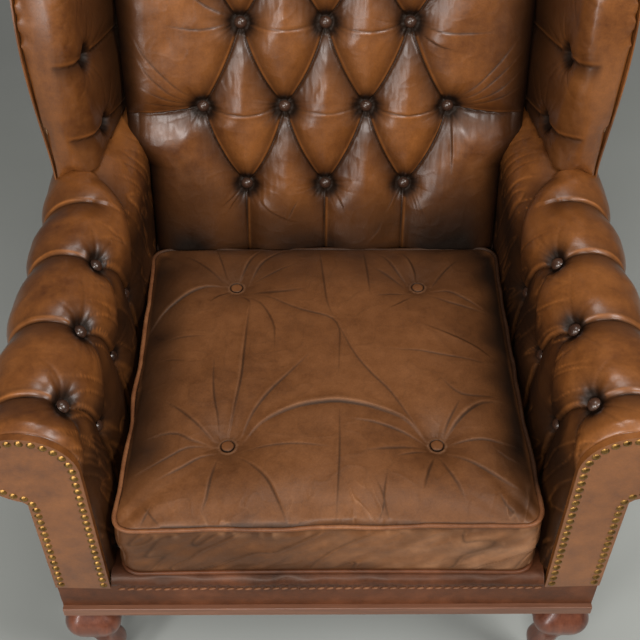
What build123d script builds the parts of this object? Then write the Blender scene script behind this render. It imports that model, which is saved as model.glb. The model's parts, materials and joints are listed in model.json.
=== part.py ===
from build123d import *
import os
from math import asin, atan2, ceil, cos, degrees, hypot, radians, sin, tan

os.makedirs("parts", exist_ok=True)

# The chair faces -Y and stands on Z = 0. Left and right are as seen from the front.
# Right arms and legs are drawn at +X and left wings at -X, and each is mirrored for its pair.

# Driving dimensions of the seat
cushion_width_front = 520.0
cushion_taper = 10.0
cushion_depth = 494.0
cushion_boxing_height = 100.0
cushion_crown = 24.0
cushion_corner_radius = 26.0
cushion_side_draw = 5.0
cushion_end_draw = 3.0
piping_radius = 3.0
cushion_leather = 1.6
cushion_rest_gap = 0.3
leg_height = 236.0
rail_height = 68.0
deck_height = 21.0

# Driving dimensions of the back, measured in the plane of its front face
recline = 13.5
back_slope_length = 660.0
back_side_clearance = 6.0
back_shoulder_width = 27.0
back_shoulder_low = 132.0
back_shoulder_high = 182.0
back_pad_depth = 75.0
back_quilt_depth = 26.0
back_gap = 4.0
crest_wrap_height = 15.0
cover = 2.0

# Driving dimensions of the arms and wings
arm_gap_front = 2.0
arm_gap_back = 7.0
arm_gap_extra = 14.0
roll_radius = 60.0
roll_axis_height = 553.0
arm_wall = 34.0
arm_post_width = 34.0
wing_flare = 9.0
wing_gap = 1.0
wing_reach = 232.0
wing_pad_thickness = 34.0
wing_board_thickness = 22.0
wing_edge_wrap = 12.0

# Driving dimensions of the beech frame
rail_thickness = 30.0
front_rail_thickness = 28.0
leg_block = 62.0
post_width = 52.0
post_thickness = 40.0
cut_overrun = 50.0

# Heights worked out from the driving dimensions
rail_bottom = leg_height
rail_top = rail_bottom + rail_height
deck_top = rail_top + deck_height
cushion_bottom = deck_top + cushion_rest_gap
cushion_top = cushion_bottom + cushion_boxing_height

# Depths from the front: facing nails, facing board, arm front, cushion, back
nail_height = 2.4
nail_radius = 5.0
facing_thickness = 8.0
back_total_depth = back_pad_depth + cover + post_thickness + cover
lean = radians(recline)
crest_rise = back_slope_length * sin(lean) + back_total_depth * cos(lean)
overall_depth = nail_height + facing_thickness + cushion_depth + back_gap + crest_rise
arm_front = -overall_depth / 2 + nail_height + facing_thickness
cushion_front = arm_front
cushion_back = cushion_front + cushion_depth
back_y = cushion_back + back_gap

# Inner faces of the arms: half widths at the arm front and at the back
cushion_width_back = cushion_width_front - cushion_taper
arm_half_front = cushion_width_front / 2 + arm_gap_front + arm_gap_extra
arm_half_back = cushion_width_back / 2 + arm_gap_back
arm_turn = atan2(arm_half_front - arm_half_back, back_y - arm_front)

# Half widths of the back and of the beech frame
back_half_between_arms = arm_half_back - back_side_clearance
back_half_between_wings = back_half_between_arms + back_shoulder_width
frame_half_width = arm_half_front + arm_wall + arm_post_width
post_outer_half = frame_half_width - cover

# Working planes
back_plane = Plane((0, back_y, cushion_top), (1, 0, 0), (0, -cos(lean), sin(lean)))
arm_plane = Plane(
    (arm_half_front, arm_front, 0),
    (cos(arm_turn), sin(arm_turn), 0),
    (sin(arm_turn), -cos(arm_turn), 0),
)
post_front = back_pad_depth + cover
post_back = post_front + post_thickness
frame_slope_length = back_slope_length - crest_wrap_height
wing_root_half = back_half_between_wings + wing_gap
wing_turn = radians(wing_flare)
wing_origin = back_plane.from_local_coords((-wing_root_half, 0, -back_pad_depth))
wing_forward = back_plane.x_dir * -sin(wing_turn) + back_plane.z_dir * cos(wing_turn)
wing_outward = back_plane.x_dir * -cos(wing_turn) - back_plane.z_dir * sin(wing_turn)
wing_plane = Plane(wing_origin, wing_forward, wing_outward)


def keep(piece, name):
    """Label one finished piece and write its STEP file."""
    piece.part.label = name
    export_step(piece.part, f"parts/{name}.step")


def keep_mirrored(piece, name):
    """Write the mirror image of a piece across the chair's middle plane."""
    with BuildPart() as twin:
        mirror(piece.part, about=Plane.YZ)
    keep(twin, name)


def keep_both(piece, name):
    """Write a group of small pieces together with its mirror image, as one node."""
    with BuildPart() as group:
        add(piece.part)
        mirror(piece.part, about=Plane.YZ)
    keep(group, name)


def box_between(low, high, mode=Mode.ADD):
    """A box from its lowest to its highest corner in the active workplane."""
    size = [b - a for a, b in zip(low, high)]
    middle = [(a + b) / 2 for a, b in zip(low, high)]
    with Locations(tuple(middle)):
        Box(*size, mode=mode)


def at_height(depth_behind_face, height):
    """Place along the back's slope of a point at a height, at a depth behind its front face."""
    return (height - cushion_top + depth_behind_face * sin(lean)) / cos(lean)


# Seat cushion outline, drawn in between its corners
def cushion_outline(inset, corner_radius, height):
    """The cushion's plan outline, inset all round, with rounded corners, at a height."""
    front_half = cushion_width_front / 2 - inset
    back_half = cushion_width_back / 2 - inset
    front_y = cushion_front + inset
    back_edge = cushion_back - inset
    middle_half = (front_half + back_half) / 2 - cushion_side_draw
    middle_y = (front_y + back_edge) / 2
    with BuildSketch(Plane.XY.offset(height)) as plan:
        with BuildLine():
            ThreePointArc(
                (-front_half, front_y), (0, front_y + cushion_end_draw), (front_half, front_y)
            )
            ThreePointArc(
                (front_half, front_y), (middle_half, middle_y), (back_half, back_edge)
            )
            ThreePointArc(
                (back_half, back_edge), (0, back_edge - cushion_end_draw), (-back_half, back_edge)
            )
            ThreePointArc(
                (-back_half, back_edge), (-middle_half, middle_y), (-front_half, front_y)
            )
        make_face()
        fillet(plan.vertices(), corner_radius)
    return plan.sketch


def cushion_slab(inset, low, high, mode=Mode.ADD):
    """Extrude the cushion outline between two heights."""
    plan = cushion_outline(inset, cushion_corner_radius - inset, low)
    extrude(plan, amount=high - low, mode=mode)


def cushion_piping(height):
    """A piping cord round the cushion at one height."""
    path = cushion_outline(0, cushion_corner_radius, height).faces()[0].outer_wire()
    with BuildSketch(Plane(path @ 0, z_dir=path % 0)) as cord:
        Circle(piping_radius)
    sweep(cord.sketch, path=path)


piping_bottom_height = cushion_bottom + piping_radius
with BuildPart() as cushion_piping_top:
    cushion_piping(cushion_top)
keep(cushion_piping_top, "cushion_piping_top")

with BuildPart() as cushion_piping_bottom:
    cushion_piping(piping_bottom_height)
keep(cushion_piping_bottom, "cushion_piping_bottom")

with BuildPart() as cushion_boxing:
    cushion_slab(0, piping_bottom_height, cushion_top)
    cushion_slab(cushion_leather, cushion_bottom, cushion_top + cut_overrun, Mode.SUBTRACT)
    add(cushion_piping_top.part, mode=Mode.SUBTRACT)
    add(cushion_piping_bottom.part, mode=Mode.SUBTRACT)
keep(cushion_boxing, "cushion_boxing")

with BuildPart() as cushion_core:
    cushion_slab(cushion_leather, cushion_bottom + cushion_leather, cushion_top)
    add(cushion_piping_top.part, mode=Mode.SUBTRACT)
    add(cushion_piping_bottom.part, mode=Mode.SUBTRACT)
keep(cushion_core, "cushion_core")

with BuildPart() as cushion_bottom_panel:
    cushion_slab(0, cushion_bottom, cushion_bottom + cushion_leather)
    add(cushion_piping_bottom.part, mode=Mode.SUBTRACT)
keep(cushion_bottom_panel, "cushion_bottom_panel")

# Crowned top panel with four tufts, each a tapered dimple with a flat floor for its button
crown_inset_shares = (0.0, 0.075, 0.24)
crown_height_shares = (0.0, 0.62, 1.0)
panel_clearance = 0.1
tuft_half_across_front = 132.0
tuft_half_across_back = 130.0
tuft_shift_front = 6.0
tuft_shift_back = 2.0
tuft_from_front = 115.0
tuft_from_back = 97.0
tuft_depth = 11.0
tuft_floor_radius = 10.0
tuft_mouth_radius = 34.0
seat_button_radius = 9.0
seat_button_height = 5.0
tuft_places = [
    (side * half + shift, y)
    for half, shift, y in (
        (tuft_half_across_front, tuft_shift_front, cushion_front + tuft_from_front),
        (tuft_half_across_back, tuft_shift_back, cushion_back - tuft_from_back),
    )
    for side in (-1, 1)
]
tuft_floor = cushion_top + cushion_crown - tuft_depth

with BuildPart() as cushion_top_panel:
    loft([
        cushion_outline(
            piping_radius + panel_clearance + inset_share * cushion_width_front,
            cushion_corner_radius,
            cushion_top + height_share * cushion_crown,
        )
        for inset_share, height_share in zip(crown_inset_shares, crown_height_shares)
    ])
    with Locations(*[(x, y, tuft_floor) for x, y in tuft_places]):
        Cone(
            tuft_floor_radius,
            tuft_mouth_radius,
            tuft_depth,
            align=(Align.CENTER, Align.CENTER, Align.MIN),
            mode=Mode.SUBTRACT,
        )
keep(cushion_top_panel, "cushion_top_panel")


def button(radius, height):
    """A domed button or nail head: a cap of a sphere, turned about the local Z axis."""
    ball = (radius ** 2 + height ** 2) / (2 * height)
    half_angle = asin(radius / ball) / 2
    with BuildSketch(Plane.XZ) as section:
        with BuildLine():
            Line((0, 0), (radius, 0))
            ThreePointArc(
                (radius, 0),
                (ball * sin(half_angle), height - ball + ball * cos(half_angle)),
                (0, height),
            )
            Line((0, height), (0, 0))
        make_face()
    revolve(section.sketch, axis=Axis.Z)


with BuildPart() as seat_button:
    button(seat_button_radius, seat_button_height)

with BuildPart() as cushion_buttons:
    with Locations(*[(x, y, tuft_floor) for x, y in tuft_places]):
        add(seat_button.part)
keep(cushion_buttons, "cushion_buttons")

# The arm's outer form: an upright wall under a roll, run back to the back's frame
roll_under_angle = 75.0
roll_under_height = roll_axis_height - roll_radius * sin(radians(roll_under_angle))
roll_under_s = roll_radius + roll_radius * cos(radians(roll_under_angle))
arm_length = back_y + back_total_depth - arm_front


def roll_arcs(radius):
    """The roll's two arcs, from the inner wall over the top; returns the underside's end."""
    high = (roll_radius, roll_axis_height + radius)
    outer = (roll_radius + radius, roll_axis_height)
    half_under = radians(roll_under_angle / 2)
    under = radians(roll_under_angle)
    end = (roll_radius + radius * cos(under), roll_axis_height - radius * sin(under))
    ThreePointArc((roll_radius - radius, roll_axis_height), high, outer)
    ThreePointArc(
        outer,
        (
            roll_radius + radius * cos(half_under),
            roll_axis_height - radius * sin(half_under),
        ),
        end,
    )
    return end


with BuildPart() as arm_form:
    with BuildSketch(arm_plane):
        with BuildLine():
            Line((0, rail_top), (0, roll_axis_height))
            roll_arcs(roll_radius)
            Polyline(
                (roll_under_s, roll_under_height),
                (arm_wall, roll_under_height),
                (arm_wall, rail_top),
                (0, rail_top),
            )
        make_face()
    extrude(amount=-arm_length)
    split(bisect_by=back_plane.offset(-back_pad_depth), keep=Keep.TOP)

# Back buttons: rows of three and four in turn, up the slope
button_side_margin = 110.5
first_row_up = 100.0
last_row_down = 80.0
row_counts = (3, 4, 3, 4, 3)
back_button_radius = 8.5
back_button_height = 6.0
dimple_depth = 16.0
dimple_mouth_radius = 26.0
pleat_shallow_width = 14.0
pleat_shallow_depth = 4.0
pleat_deep_width = 5.0
pleat_deep_depth = 10.0
button_span = 2 * (back_half_between_wings - button_side_margin)
button_spacing = button_span / (max(row_counts) - 1)
button_row_pitch = (back_slope_length - first_row_up - last_row_down) / (len(row_counts) - 1)
back_rows = [
    [((i - (count - 1) / 2) * button_spacing, first_row_up + row * button_row_pitch)
     for i in range(count)]
    for row, count in enumerate(row_counts)
]
back_places = [place for row in back_rows for place in row]


def pleat_lines():
    """Ends of each pleat of the buttoned back, in its front plane."""
    lines = []
    for low, high in zip(back_rows, back_rows[1:]):
        for a in low:
            for b in high:
                if abs(a[0] - b[0]) < button_spacing:
                    lines.append((a, b))
    seat_line = at_height(0, deck_top)
    for place in back_rows[0]:
        lines.append((place, (place[0], seat_line)))
    for place in back_rows[-1]:
        lines.append((place, (place[0], back_slope_length)))
    for row in back_rows:
        for place in (row[0], row[-1]):
            side = 1 if place[0] > 0 else -1
            if len(row) == max(row_counts):
                lines.append((place, (side * back_half_between_wings, place[1])))
    return lines


def cut_pleats(width, depth):
    """Cut every pleat as a groove of one width and depth."""
    with BuildSketch(back_plane) as grooves:
        for (x0, y0), (x1, y1) in pleat_lines():
            with Locations(((x0 + x1) / 2, (y0 + y1) / 2)):
                length = hypot(x1 - x0, y1 - y0)
                Rectangle(length, width, rotation=degrees(atan2(y1 - y0, x1 - x0)))
    extrude(grooves.sketch, amount=-depth, mode=Mode.SUBTRACT)


def back_outline(plane, slope_top):
    """Outline of the back pad: narrow between the arms, wider between the wings."""
    bottom = at_height(back_pad_depth, deck_top) - cut_overrun
    half = [
        (back_half_between_arms, bottom),
        (back_half_between_arms, back_shoulder_low),
        (back_half_between_wings, back_shoulder_high),
        (back_half_between_wings, slope_top),
    ]
    with BuildSketch(plane) as outline:
        with BuildLine():
            Polyline(*half, *[(-x, y) for x, y in reversed(half)], close=True)
        make_face()
    return outline.sketch


def clear_seat():
    """Cut away what is below the deck, in front of the cushion's back or inside the arms."""
    side = frame_half_width + cut_overrun
    front = arm_front - cut_overrun
    box_between(
        (-side, front, rail_bottom - back_slope_length),
        (side, back_y + back_total_depth + cut_overrun, deck_top),
        Mode.SUBTRACT,
    )
    box_between((-side, front, deck_top), (side, back_y, cushion_top), Mode.SUBTRACT)
    add(arm_form.part, mode=Mode.SUBTRACT)
    mirror(arm_form.part, about=Plane.YZ, mode=Mode.SUBTRACT)


crest_radius = 20.0
with BuildPart() as back_leather:
    extrude(back_outline(back_plane, back_slope_length), amount=-back_quilt_depth)
    crest_edge = back_leather.edges().filter_by(Axis.X).sort_by(Axis.Z)[-2:].sort_by(Axis.Y)
    fillet(crest_edge[0], crest_radius)
    clear_seat()
    cut_pleats(pleat_shallow_width, pleat_shallow_depth)
    cut_pleats(pleat_deep_width, pleat_deep_depth)
    for x, y in back_places:
        with BuildSketch(back_plane):
            with Locations((x, y)):
                Circle(dimple_mouth_radius)
        with BuildSketch(back_plane.offset(-dimple_depth)):
            with Locations((x, y)):
                Circle(back_button_radius)
        loft(mode=Mode.SUBTRACT)
keep(back_leather, "back_leather")

with BuildPart() as back_button:
    button(back_button_radius, back_button_height)

with BuildPart(back_plane.offset(-dimple_depth)) as back_buttons:
    with Locations(*back_places):
        add(back_button.part)
keep(back_buttons, "back_buttons")

with BuildPart() as back_stuffing:
    stuffing_outline = back_outline(back_plane.offset(-back_quilt_depth), frame_slope_length)
    extrude(stuffing_outline, amount=back_quilt_depth - back_pad_depth)
    clear_seat()
keep(back_stuffing, "back_stuffing")

# Leather carried over the top of the frame behind the quilt
with BuildPart(back_plane) as crest_wrap:
    box_between(
        (-post_outer_half, frame_slope_length, -post_back),
        (post_outer_half, back_slope_length, -back_pad_depth),
    )
    box_between(
        (-back_half_between_wings, frame_slope_length, -back_pad_depth),
        (back_half_between_wings, back_slope_length, -back_quilt_depth),
    )
keep(crest_wrap, "crest_leather")


# Timber of the back, in the back's plane
def cut_below(height):
    """Cut away everything below a height."""
    reach = back_slope_length
    box_between((-reach, -reach, -reach), (reach, reach, height), Mode.SUBTRACT)


with BuildPart(back_plane) as back_post_stock:
    box_between(
        (post_outer_half - post_width, at_height(0, rail_bottom) - cut_overrun, -post_back),
        (post_outer_half, frame_slope_length, -post_front),
    )

# Raked back legs, each with a tenon up into its post
back_leg_top_depth = 40.0
back_leg_foot = 30.0
back_leg_rake = 125.0
back_leg_corner = 5.0
tenon_height = 30.0
tenon_width = 24.0
tenon_thickness = 14.0
glide_height = 4.0
glide_radius = 11.0
post_middle = post_outer_half - post_width / 2
post_foot_slope = at_height((post_front + post_back) / 2, rail_bottom)
post_foot_y = back_y + post_foot_slope * sin(lean) + (post_front + post_back) / 2 * cos(lean)
back_foot_y = post_foot_y + back_leg_rake

with BuildPart() as back_leg_right:
    with BuildSketch(Plane.XY.offset(rail_bottom)):
        with Locations((post_middle, post_foot_y)):
            RectangleRounded(post_width, back_leg_top_depth, back_leg_corner)
    with BuildSketch(Plane.XY.offset(glide_height)):
        with Locations((post_middle, back_foot_y)):
            RectangleRounded(back_leg_foot, back_leg_foot, back_leg_corner)
    loft()
    box_between(
        (post_middle - tenon_width / 2, post_foot_y - tenon_thickness / 2, rail_bottom),
        (post_middle + tenon_width / 2, post_foot_y + tenon_thickness / 2,
         rail_bottom + tenon_height),
    )
keep(back_leg_right, "back_leg_right")
keep_mirrored(back_leg_right, "back_leg_left")

with BuildPart() as back_post_right:
    add(back_post_stock.part)
    cut_below(rail_bottom)
    add(back_leg_right.part, mode=Mode.SUBTRACT)
keep(back_post_right, "back_post_right")
keep_mirrored(back_post_right, "back_post_left")

crest_rail_height = 56.0
tack_rail_height = 40.0
tack_rail_above_deck = 34.0
rail_end = post_outer_half - post_width
with BuildPart(back_plane) as crest_rail:
    box_between(
        (-rail_end, frame_slope_length - crest_rail_height, -post_back),
        (rail_end, frame_slope_length, -post_front),
    )
keep(crest_rail, "crest_rail")

tack_rail_low = at_height(post_front, deck_top + tack_rail_above_deck)
with BuildPart(back_plane) as back_tack_rail:
    box_between(
        (-rail_end, tack_rail_low, -post_back),
        (rail_end, tack_rail_low + tack_rail_height, -post_front),
    )
keep(back_tack_rail, "back_tack_rail")

with BuildPart(back_plane) as back_rail_stock:
    box_between(
        (-rail_end, at_height(0, rail_bottom) - cut_overrun, -post_back),
        (rail_end, at_height(0, deck_top), -post_front),
    )
with BuildPart() as back_rail_blank:
    add(back_rail_stock.part)
    cut_below(rail_bottom)
    side = frame_half_width + cut_overrun
    box_between(
        (-side, back_y - cut_overrun, rail_top),
        (side, back_y + back_total_depth + cut_overrun, deck_top + cut_overrun),
        Mode.SUBTRACT,
    )

# Outside back
with BuildPart() as outside_back:
    with BuildSketch(back_plane.offset(-post_back)):
        low = at_height(post_back, rail_bottom) - cut_overrun
        with Locations((0, (low + back_slope_length) / 2)):
            Rectangle(2 * (post_outer_half + cover), back_slope_length - low)
    extrude(amount=-cover)
    cut_below(rail_bottom)
keep(outside_back, "outside_back")

# Front legs: a square block in the corner of the frame and a cabriole below it
knee_size = 62.0
cabriole_shares = (
    # height, outward offset and size, as shares of the leg's height and of the knee
    (1.00, 0.00, 0.96),
    (0.86, 0.10, 1.06),
    (0.66, 0.07, 0.80),
    (0.42, -0.06, 0.54),
    (0.22, -0.04, 0.46),
    (0.12, 0.05, 0.60),
    (0.06, 0.08, 0.86),
    (0.00, 0.08, 0.70),
)
corner_share = 0.3
front_leg_x = frame_half_width - leg_block / 2
front_leg_y = arm_front + leg_block / 2
rail_tenon_length = 20.0
rail_tenon_height = 44.0
rail_tenon_thickness = 10.0

with BuildPart() as front_rail_blank:
    box_between(
        (-frame_half_width + leg_block, arm_front, rail_bottom),
        (frame_half_width - leg_block, arm_front + front_rail_thickness, rail_top),
    )
    with Locations((0, arm_front + front_rail_thickness / 2, rail_bottom + rail_height / 2)):
        Box(
            2 * (frame_half_width - leg_block + rail_tenon_length),
            rail_tenon_thickness,
            rail_tenon_height,
        )

with BuildPart() as side_rail_blank:
    box_between(
        (frame_half_width - rail_thickness, arm_front + leg_block, rail_bottom),
        (frame_half_width, back_y + back_total_depth, rail_top),
    )
    split(bisect_by=back_plane.offset(-post_front), keep=Keep.TOP)
    with Locations((
        frame_half_width - rail_thickness / 2,
        arm_front + leg_block - rail_tenon_length / 2,
        rail_bottom + rail_height / 2,
    )):
        Box(rail_tenon_thickness, rail_tenon_length, rail_tenon_height)

with BuildPart() as front_leg_right:
    foot_to_rail = rail_bottom - glide_height
    for height_share, offset_share, size_share in cabriole_shares:
        size = size_share * knee_size
        shift = offset_share * knee_size
        with BuildSketch(Plane.XY.offset(glide_height + height_share * foot_to_rail)):
            with Locations((front_leg_x + shift, front_leg_y - shift)):
                RectangleRounded(size, size, corner_share * size)
    loft()
    box_between(
        (frame_half_width - leg_block, arm_front, rail_bottom),
        (frame_half_width, arm_front + leg_block, rail_top),
    )
    add(front_rail_blank.part, mode=Mode.SUBTRACT)
    add(side_rail_blank.part, mode=Mode.SUBTRACT)
keep(front_leg_right, "front_leg_right")
keep_mirrored(front_leg_right, "front_leg_left")

front_foot_shift = cabriole_shares[-1][1] * knee_size
feet = [
    (side * x, y)
    for side in (-1, 1)
    for x, y in (
        (front_leg_x + front_foot_shift, front_leg_y - front_foot_shift),
        (post_middle, back_foot_y),
    )
]
with BuildPart() as floor_glides:
    with Locations(*feet):
        Cylinder(glide_radius, glide_height, align=(Align.CENTER, Align.CENTER, Align.MIN))
keep(floor_glides, "floor_glides")

# Corner blocks and their screws
block_reach = 60.0
block_height = 48.0
block_low = rail_bottom + (rail_height - block_height) / 2
screw_radius = 2.2
screw_head_radius = 4.5
screw_head_height = 3.0
screw_bite = 18.0
screw_share = 0.55
inner_x = frame_half_width - rail_thickness
front_inner_y = arm_front + front_rail_thickness
leg_inner_x = frame_half_width - leg_block
leg_inner_y = arm_front + leg_block
screw_z = block_low + block_height / 2
rear_inner_y = back_y + at_height(post_front, screw_z) * sin(lean) + post_front * cos(lean)
screw_step = screw_share * block_reach
screw_thick = block_reach - screw_step


def screw(start, toward):
    """One wood screw from its head's seat, driven toward a rail."""
    with BuildPart(Plane(start, z_dir=toward)) as one:
        Cylinder(
            screw_radius,
            screw_thick + screw_bite,
            align=(Align.CENTER, Align.CENTER, Align.MIN),
        )
        Cylinder(
            screw_head_radius,
            screw_head_height,
            align=(Align.CENTER, Align.CENTER, Align.MAX),
        )
    return one.part


right_screws = [
    screw((leg_inner_x - screw_step, front_inner_y + screw_thick, screw_z), (0, -1, 0)),
    screw((inner_x - screw_thick, leg_inner_y + screw_step, screw_z), (1, 0, 0)),
    screw((inner_x - screw_step, rear_inner_y - screw_thick, screw_z), (0, 1, 0)),
    screw((inner_x - screw_thick, rear_inner_y - screw_step, screw_z), (1, 0, 0)),
]
with BuildPart() as corner_screws:
    for one_screw in right_screws:
        add(one_screw)
        mirror(one_screw, about=Plane.YZ)
keep(corner_screws, "corner_screws")

with BuildPart() as corner_blocks_right:
    with BuildSketch(Plane.XY.offset(block_low)):
        with BuildLine():
            Polyline(
                (leg_inner_x - block_reach, front_inner_y),
                (leg_inner_x, front_inner_y),
                (leg_inner_x, leg_inner_y),
                (inner_x, leg_inner_y),
                (inner_x, leg_inner_y + block_reach),
                close=True,
            )
        make_face()
        with BuildLine():
            Polyline(
                (inner_x - block_reach, rear_inner_y),
                (inner_x - block_reach, rear_inner_y + cut_overrun),
                (inner_x, rear_inner_y + cut_overrun),
                (inner_x, rear_inner_y - block_reach),
                close=True,
            )
        make_face()
    extrude(amount=block_height)
    split(bisect_by=back_plane.offset(-post_front), keep=Keep.TOP)
with BuildPart() as corner_blocks:
    add(corner_blocks_right.part)
    mirror(corner_blocks_right.part, about=Plane.YZ)
    add(corner_screws.part, mode=Mode.SUBTRACT)
keep(corner_blocks, "corner_blocks")

with BuildPart() as side_rail_right:
    add(side_rail_blank.part)
    add(corner_screws.part, mode=Mode.SUBTRACT)
keep(side_rail_right, "side_rail_right")
keep_mirrored(side_rail_right, "side_rail_left")

with BuildPart() as front_rail:
    add(front_rail_blank.part)
    add(corner_screws.part, mode=Mode.SUBTRACT)
keep(front_rail, "front_rail")

with BuildPart() as back_rail:
    add(back_rail_blank.part)
    add(corner_screws.part, mode=Mode.SUBTRACT)
keep(back_rail, "back_rail")

# Zigzag springs, hooked into clips on the front and back rails
spring_count = 5
spring_spacing = 92.0
spring_wire_radius = 1.9
spring_width = 48.0
spring_bend_radius = 11.0
clip_width = 30.0
clip_length = 14.0
clip_height = 5.0
clip_from_edge = 8.0
spring_front = arm_front + clip_from_edge + clip_length
rear_rail_top_y = back_y + at_height(post_front, rail_top) * sin(lean) + post_front * cos(lean)
spring_rear = rear_rail_top_y + clip_from_edge
spring_z = rail_top + clip_height / 2
bend_count = int((spring_rear - spring_front) // (2 * spring_bend_radius))
spring_pitch = (spring_rear - spring_front) / bend_count
straight_half = spring_width / 2 - spring_pitch / 2

with BuildPart() as one_spring:
    with BuildLine(Plane.XY.offset(spring_z)) as spring_path:
        for i in range(bend_count):
            side = 1 if i % 2 else -1
            low = spring_front + i * spring_pitch
            high = low + spring_pitch
            if i:
                Line((-side * straight_half, low), (side * straight_half, low))
            else:
                Line((0, low), (side * straight_half, low))
            ThreePointArc(
                (side * straight_half, low),
                (side * spring_width / 2, (low + high) / 2),
                (side * straight_half, high),
            )
        Line((side * straight_half, spring_rear), (0, spring_rear))
    spring_wire = spring_path.line
    with BuildSketch(Plane(spring_wire @ 0, z_dir=spring_wire % 0)):
        Circle(spring_wire_radius)
    sweep(path=spring_wire)
with BuildPart() as seat_springs:
    with GridLocations(spring_spacing, 0, spring_count, 1):
        add(one_spring.part)
keep(seat_springs, "seat_springs")

with BuildPart() as spring_clips:
    with Locations((0, spring_front, rail_top), (0, spring_rear, rail_top)):
        with GridLocations(spring_spacing, 0, spring_count, 1):
            Box(
                clip_width,
                clip_length,
                clip_height,
                align=(Align.CENTER, Align.CENTER, Align.MIN),
            )
    add(seat_springs.part, mode=Mode.SUBTRACT)
keep(spring_clips, "spring_clips")

# Deck over the springs: hessian, felt and the platform cloth
hessian_thickness = 1.6
felt_thickness = 12.0
platform_thickness = 2.0
lip_depth = 40.0
lip_overhang = 9.0
lip_foot = 12.0
lip_radius = 12.0
side_clearance = 1.0
deck_rear = rear_rail_top_y - side_clearance


def deck_layer(low, thickness):
    """A layer of the deck between the arms, from the front lip to the back posts."""
    front_y = arm_front + lip_depth
    front_half = lip_half
    rear_half = back_half_between_arms
    with BuildSketch(Plane.XY.offset(low)) as plan:
        with BuildLine():
            Polyline(
                (-front_half, front_y),
                (front_half, front_y),
                (rear_half, deck_rear),
                (-rear_half, deck_rear),
                close=True,
            )
        make_face()
    extrude(plan.sketch, amount=thickness)


lip_half = arm_half_front - side_clearance - lip_depth * tan(arm_turn)
platform_low = deck_top - platform_thickness
felt_low = platform_low - felt_thickness
hessian_low = felt_low - hessian_thickness
with BuildPart() as platform_cloth:
    deck_layer(platform_low, platform_thickness)
keep(platform_cloth, "platform_cloth")
with BuildPart() as seat_felt:
    deck_layer(felt_low, felt_thickness)
keep(seat_felt, "seat_felt")
with BuildPart() as seat_hessian:
    deck_layer(hessian_low, hessian_thickness)
keep(seat_hessian, "seat_hessian")

# Padded front lip with its stitches, the leather band under it and the wooden strip
band_top = rail_top
strip_height = 16.0
strip_depth = 9.0
strip_edge = 1.5
stitch_spacing = 11.5
stitch_length = 6.0
stitch_size = 1.2
lip_front = arm_front - lip_overhang
with BuildPart() as seat_lip:
    with BuildSketch(Plane.YZ):
        with BuildLine():
            Polyline(
                (arm_front, band_top),
                (arm_front + lip_foot, band_top),
                (arm_front + lip_foot, hessian_low),
                (arm_front + lip_depth, hessian_low),
                (arm_front + lip_depth, deck_top),
                (lip_front + lip_radius, deck_top),
            )
            JernArc((lip_front + lip_radius, deck_top), (-1, 0), lip_radius, 90)
            Line((lip_front, deck_top - lip_radius), (lip_front, band_top))
            Line((lip_front, band_top), (arm_front, band_top))
        make_face()
    extrude(amount=lip_half, both=True)
keep(seat_lip, "seat_lip")

with BuildPart() as edge_stitches:
    stitch_count = int(2 * lip_half // stitch_spacing)
    with Locations((0, lip_front, band_top + stitch_size)):
        with GridLocations(stitch_spacing, 0, stitch_count, 1):
            Box(
                stitch_length,
                stitch_size,
                stitch_size,
                align=(Align.CENTER, Align.MAX, Align.CENTER),
            )
keep(edge_stitches, "edge_stitches")

skin_half = frame_half_width + cover
with BuildPart() as front_band:
    box_between(
        (-skin_half, arm_front - cover, rail_bottom + strip_height),
        (skin_half, arm_front, band_top),
    )
keep(front_band, "front_band")

with BuildPart() as front_strip:
    box_between(
        (-skin_half, arm_front - strip_depth, rail_bottom),
        (skin_half, arm_front, rail_bottom + strip_height),
    )
    fillet(front_strip.edges().filter_by(Axis.X).group_by(Axis.Y)[0], strip_edge)
keep(front_strip, "front_strip")

# Dust cover under the frame, cut clear of the legs
dust_thickness = 1.0
dust_margin = 6.0
with BuildPart() as dust_cover:
    for half, front, rear in (
        (leg_inner_x - dust_margin, arm_front, rear_inner_y),
        (frame_half_width - dust_margin, leg_inner_y, rear_inner_y - post_thickness),
    ):
        box_between(
            (-half, front + dust_margin, rail_bottom - dust_thickness),
            (half, rear - dust_margin, rail_bottom),
        )
keep(dust_cover, "dust_cover")

# Arms: timber posts, boards and tack rails, then the padded wall and roll round them
arm_post_depth = 30.0
arm_board_width = 38.0
arm_board_rise = 5.0
arm_tack_width = 22.0
arm_tack_height = 25.0
board_top = roll_axis_height + arm_board_rise

with BuildPart() as arm_post_right:
    box_between(
        (frame_half_width - arm_post_width, arm_front, rail_top),
        (frame_half_width, arm_front + arm_post_depth, roll_under_height),
    )
    split(bisect_by=arm_plane, keep=Keep.BOTTOM)
keep(arm_post_right, "arm_post_right")
keep_mirrored(arm_post_right, "arm_post_left")

with BuildPart() as arm_board_right:
    with BuildSketch(arm_plane):
        with Locations((
            arm_wall + arm_board_width / 2,
            (roll_under_height + board_top) / 2,
        )):
            Rectangle(arm_board_width, board_top - roll_under_height)
    extrude(amount=-arm_length)
    split(bisect_by=back_plane.offset(-post_front), keep=Keep.TOP)
keep(arm_board_right, "arm_board_right")
keep_mirrored(arm_board_right, "arm_board_left")

with BuildPart() as arm_tack_rail_right:
    with BuildSketch(arm_plane.offset(-arm_post_depth - side_clearance)):
        with Locations((
            arm_wall + arm_tack_width / 2,
            deck_top + arm_tack_height / 2,
        )):
            Rectangle(arm_tack_width, arm_tack_height)
    extrude(amount=-arm_length)
    split(bisect_by=back_plane.offset(-post_front), keep=Keep.TOP)
keep(arm_tack_rail_right, "arm_tack_rail_right")
keep_mirrored(arm_tack_rail_right, "arm_tack_rail_left")


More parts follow.
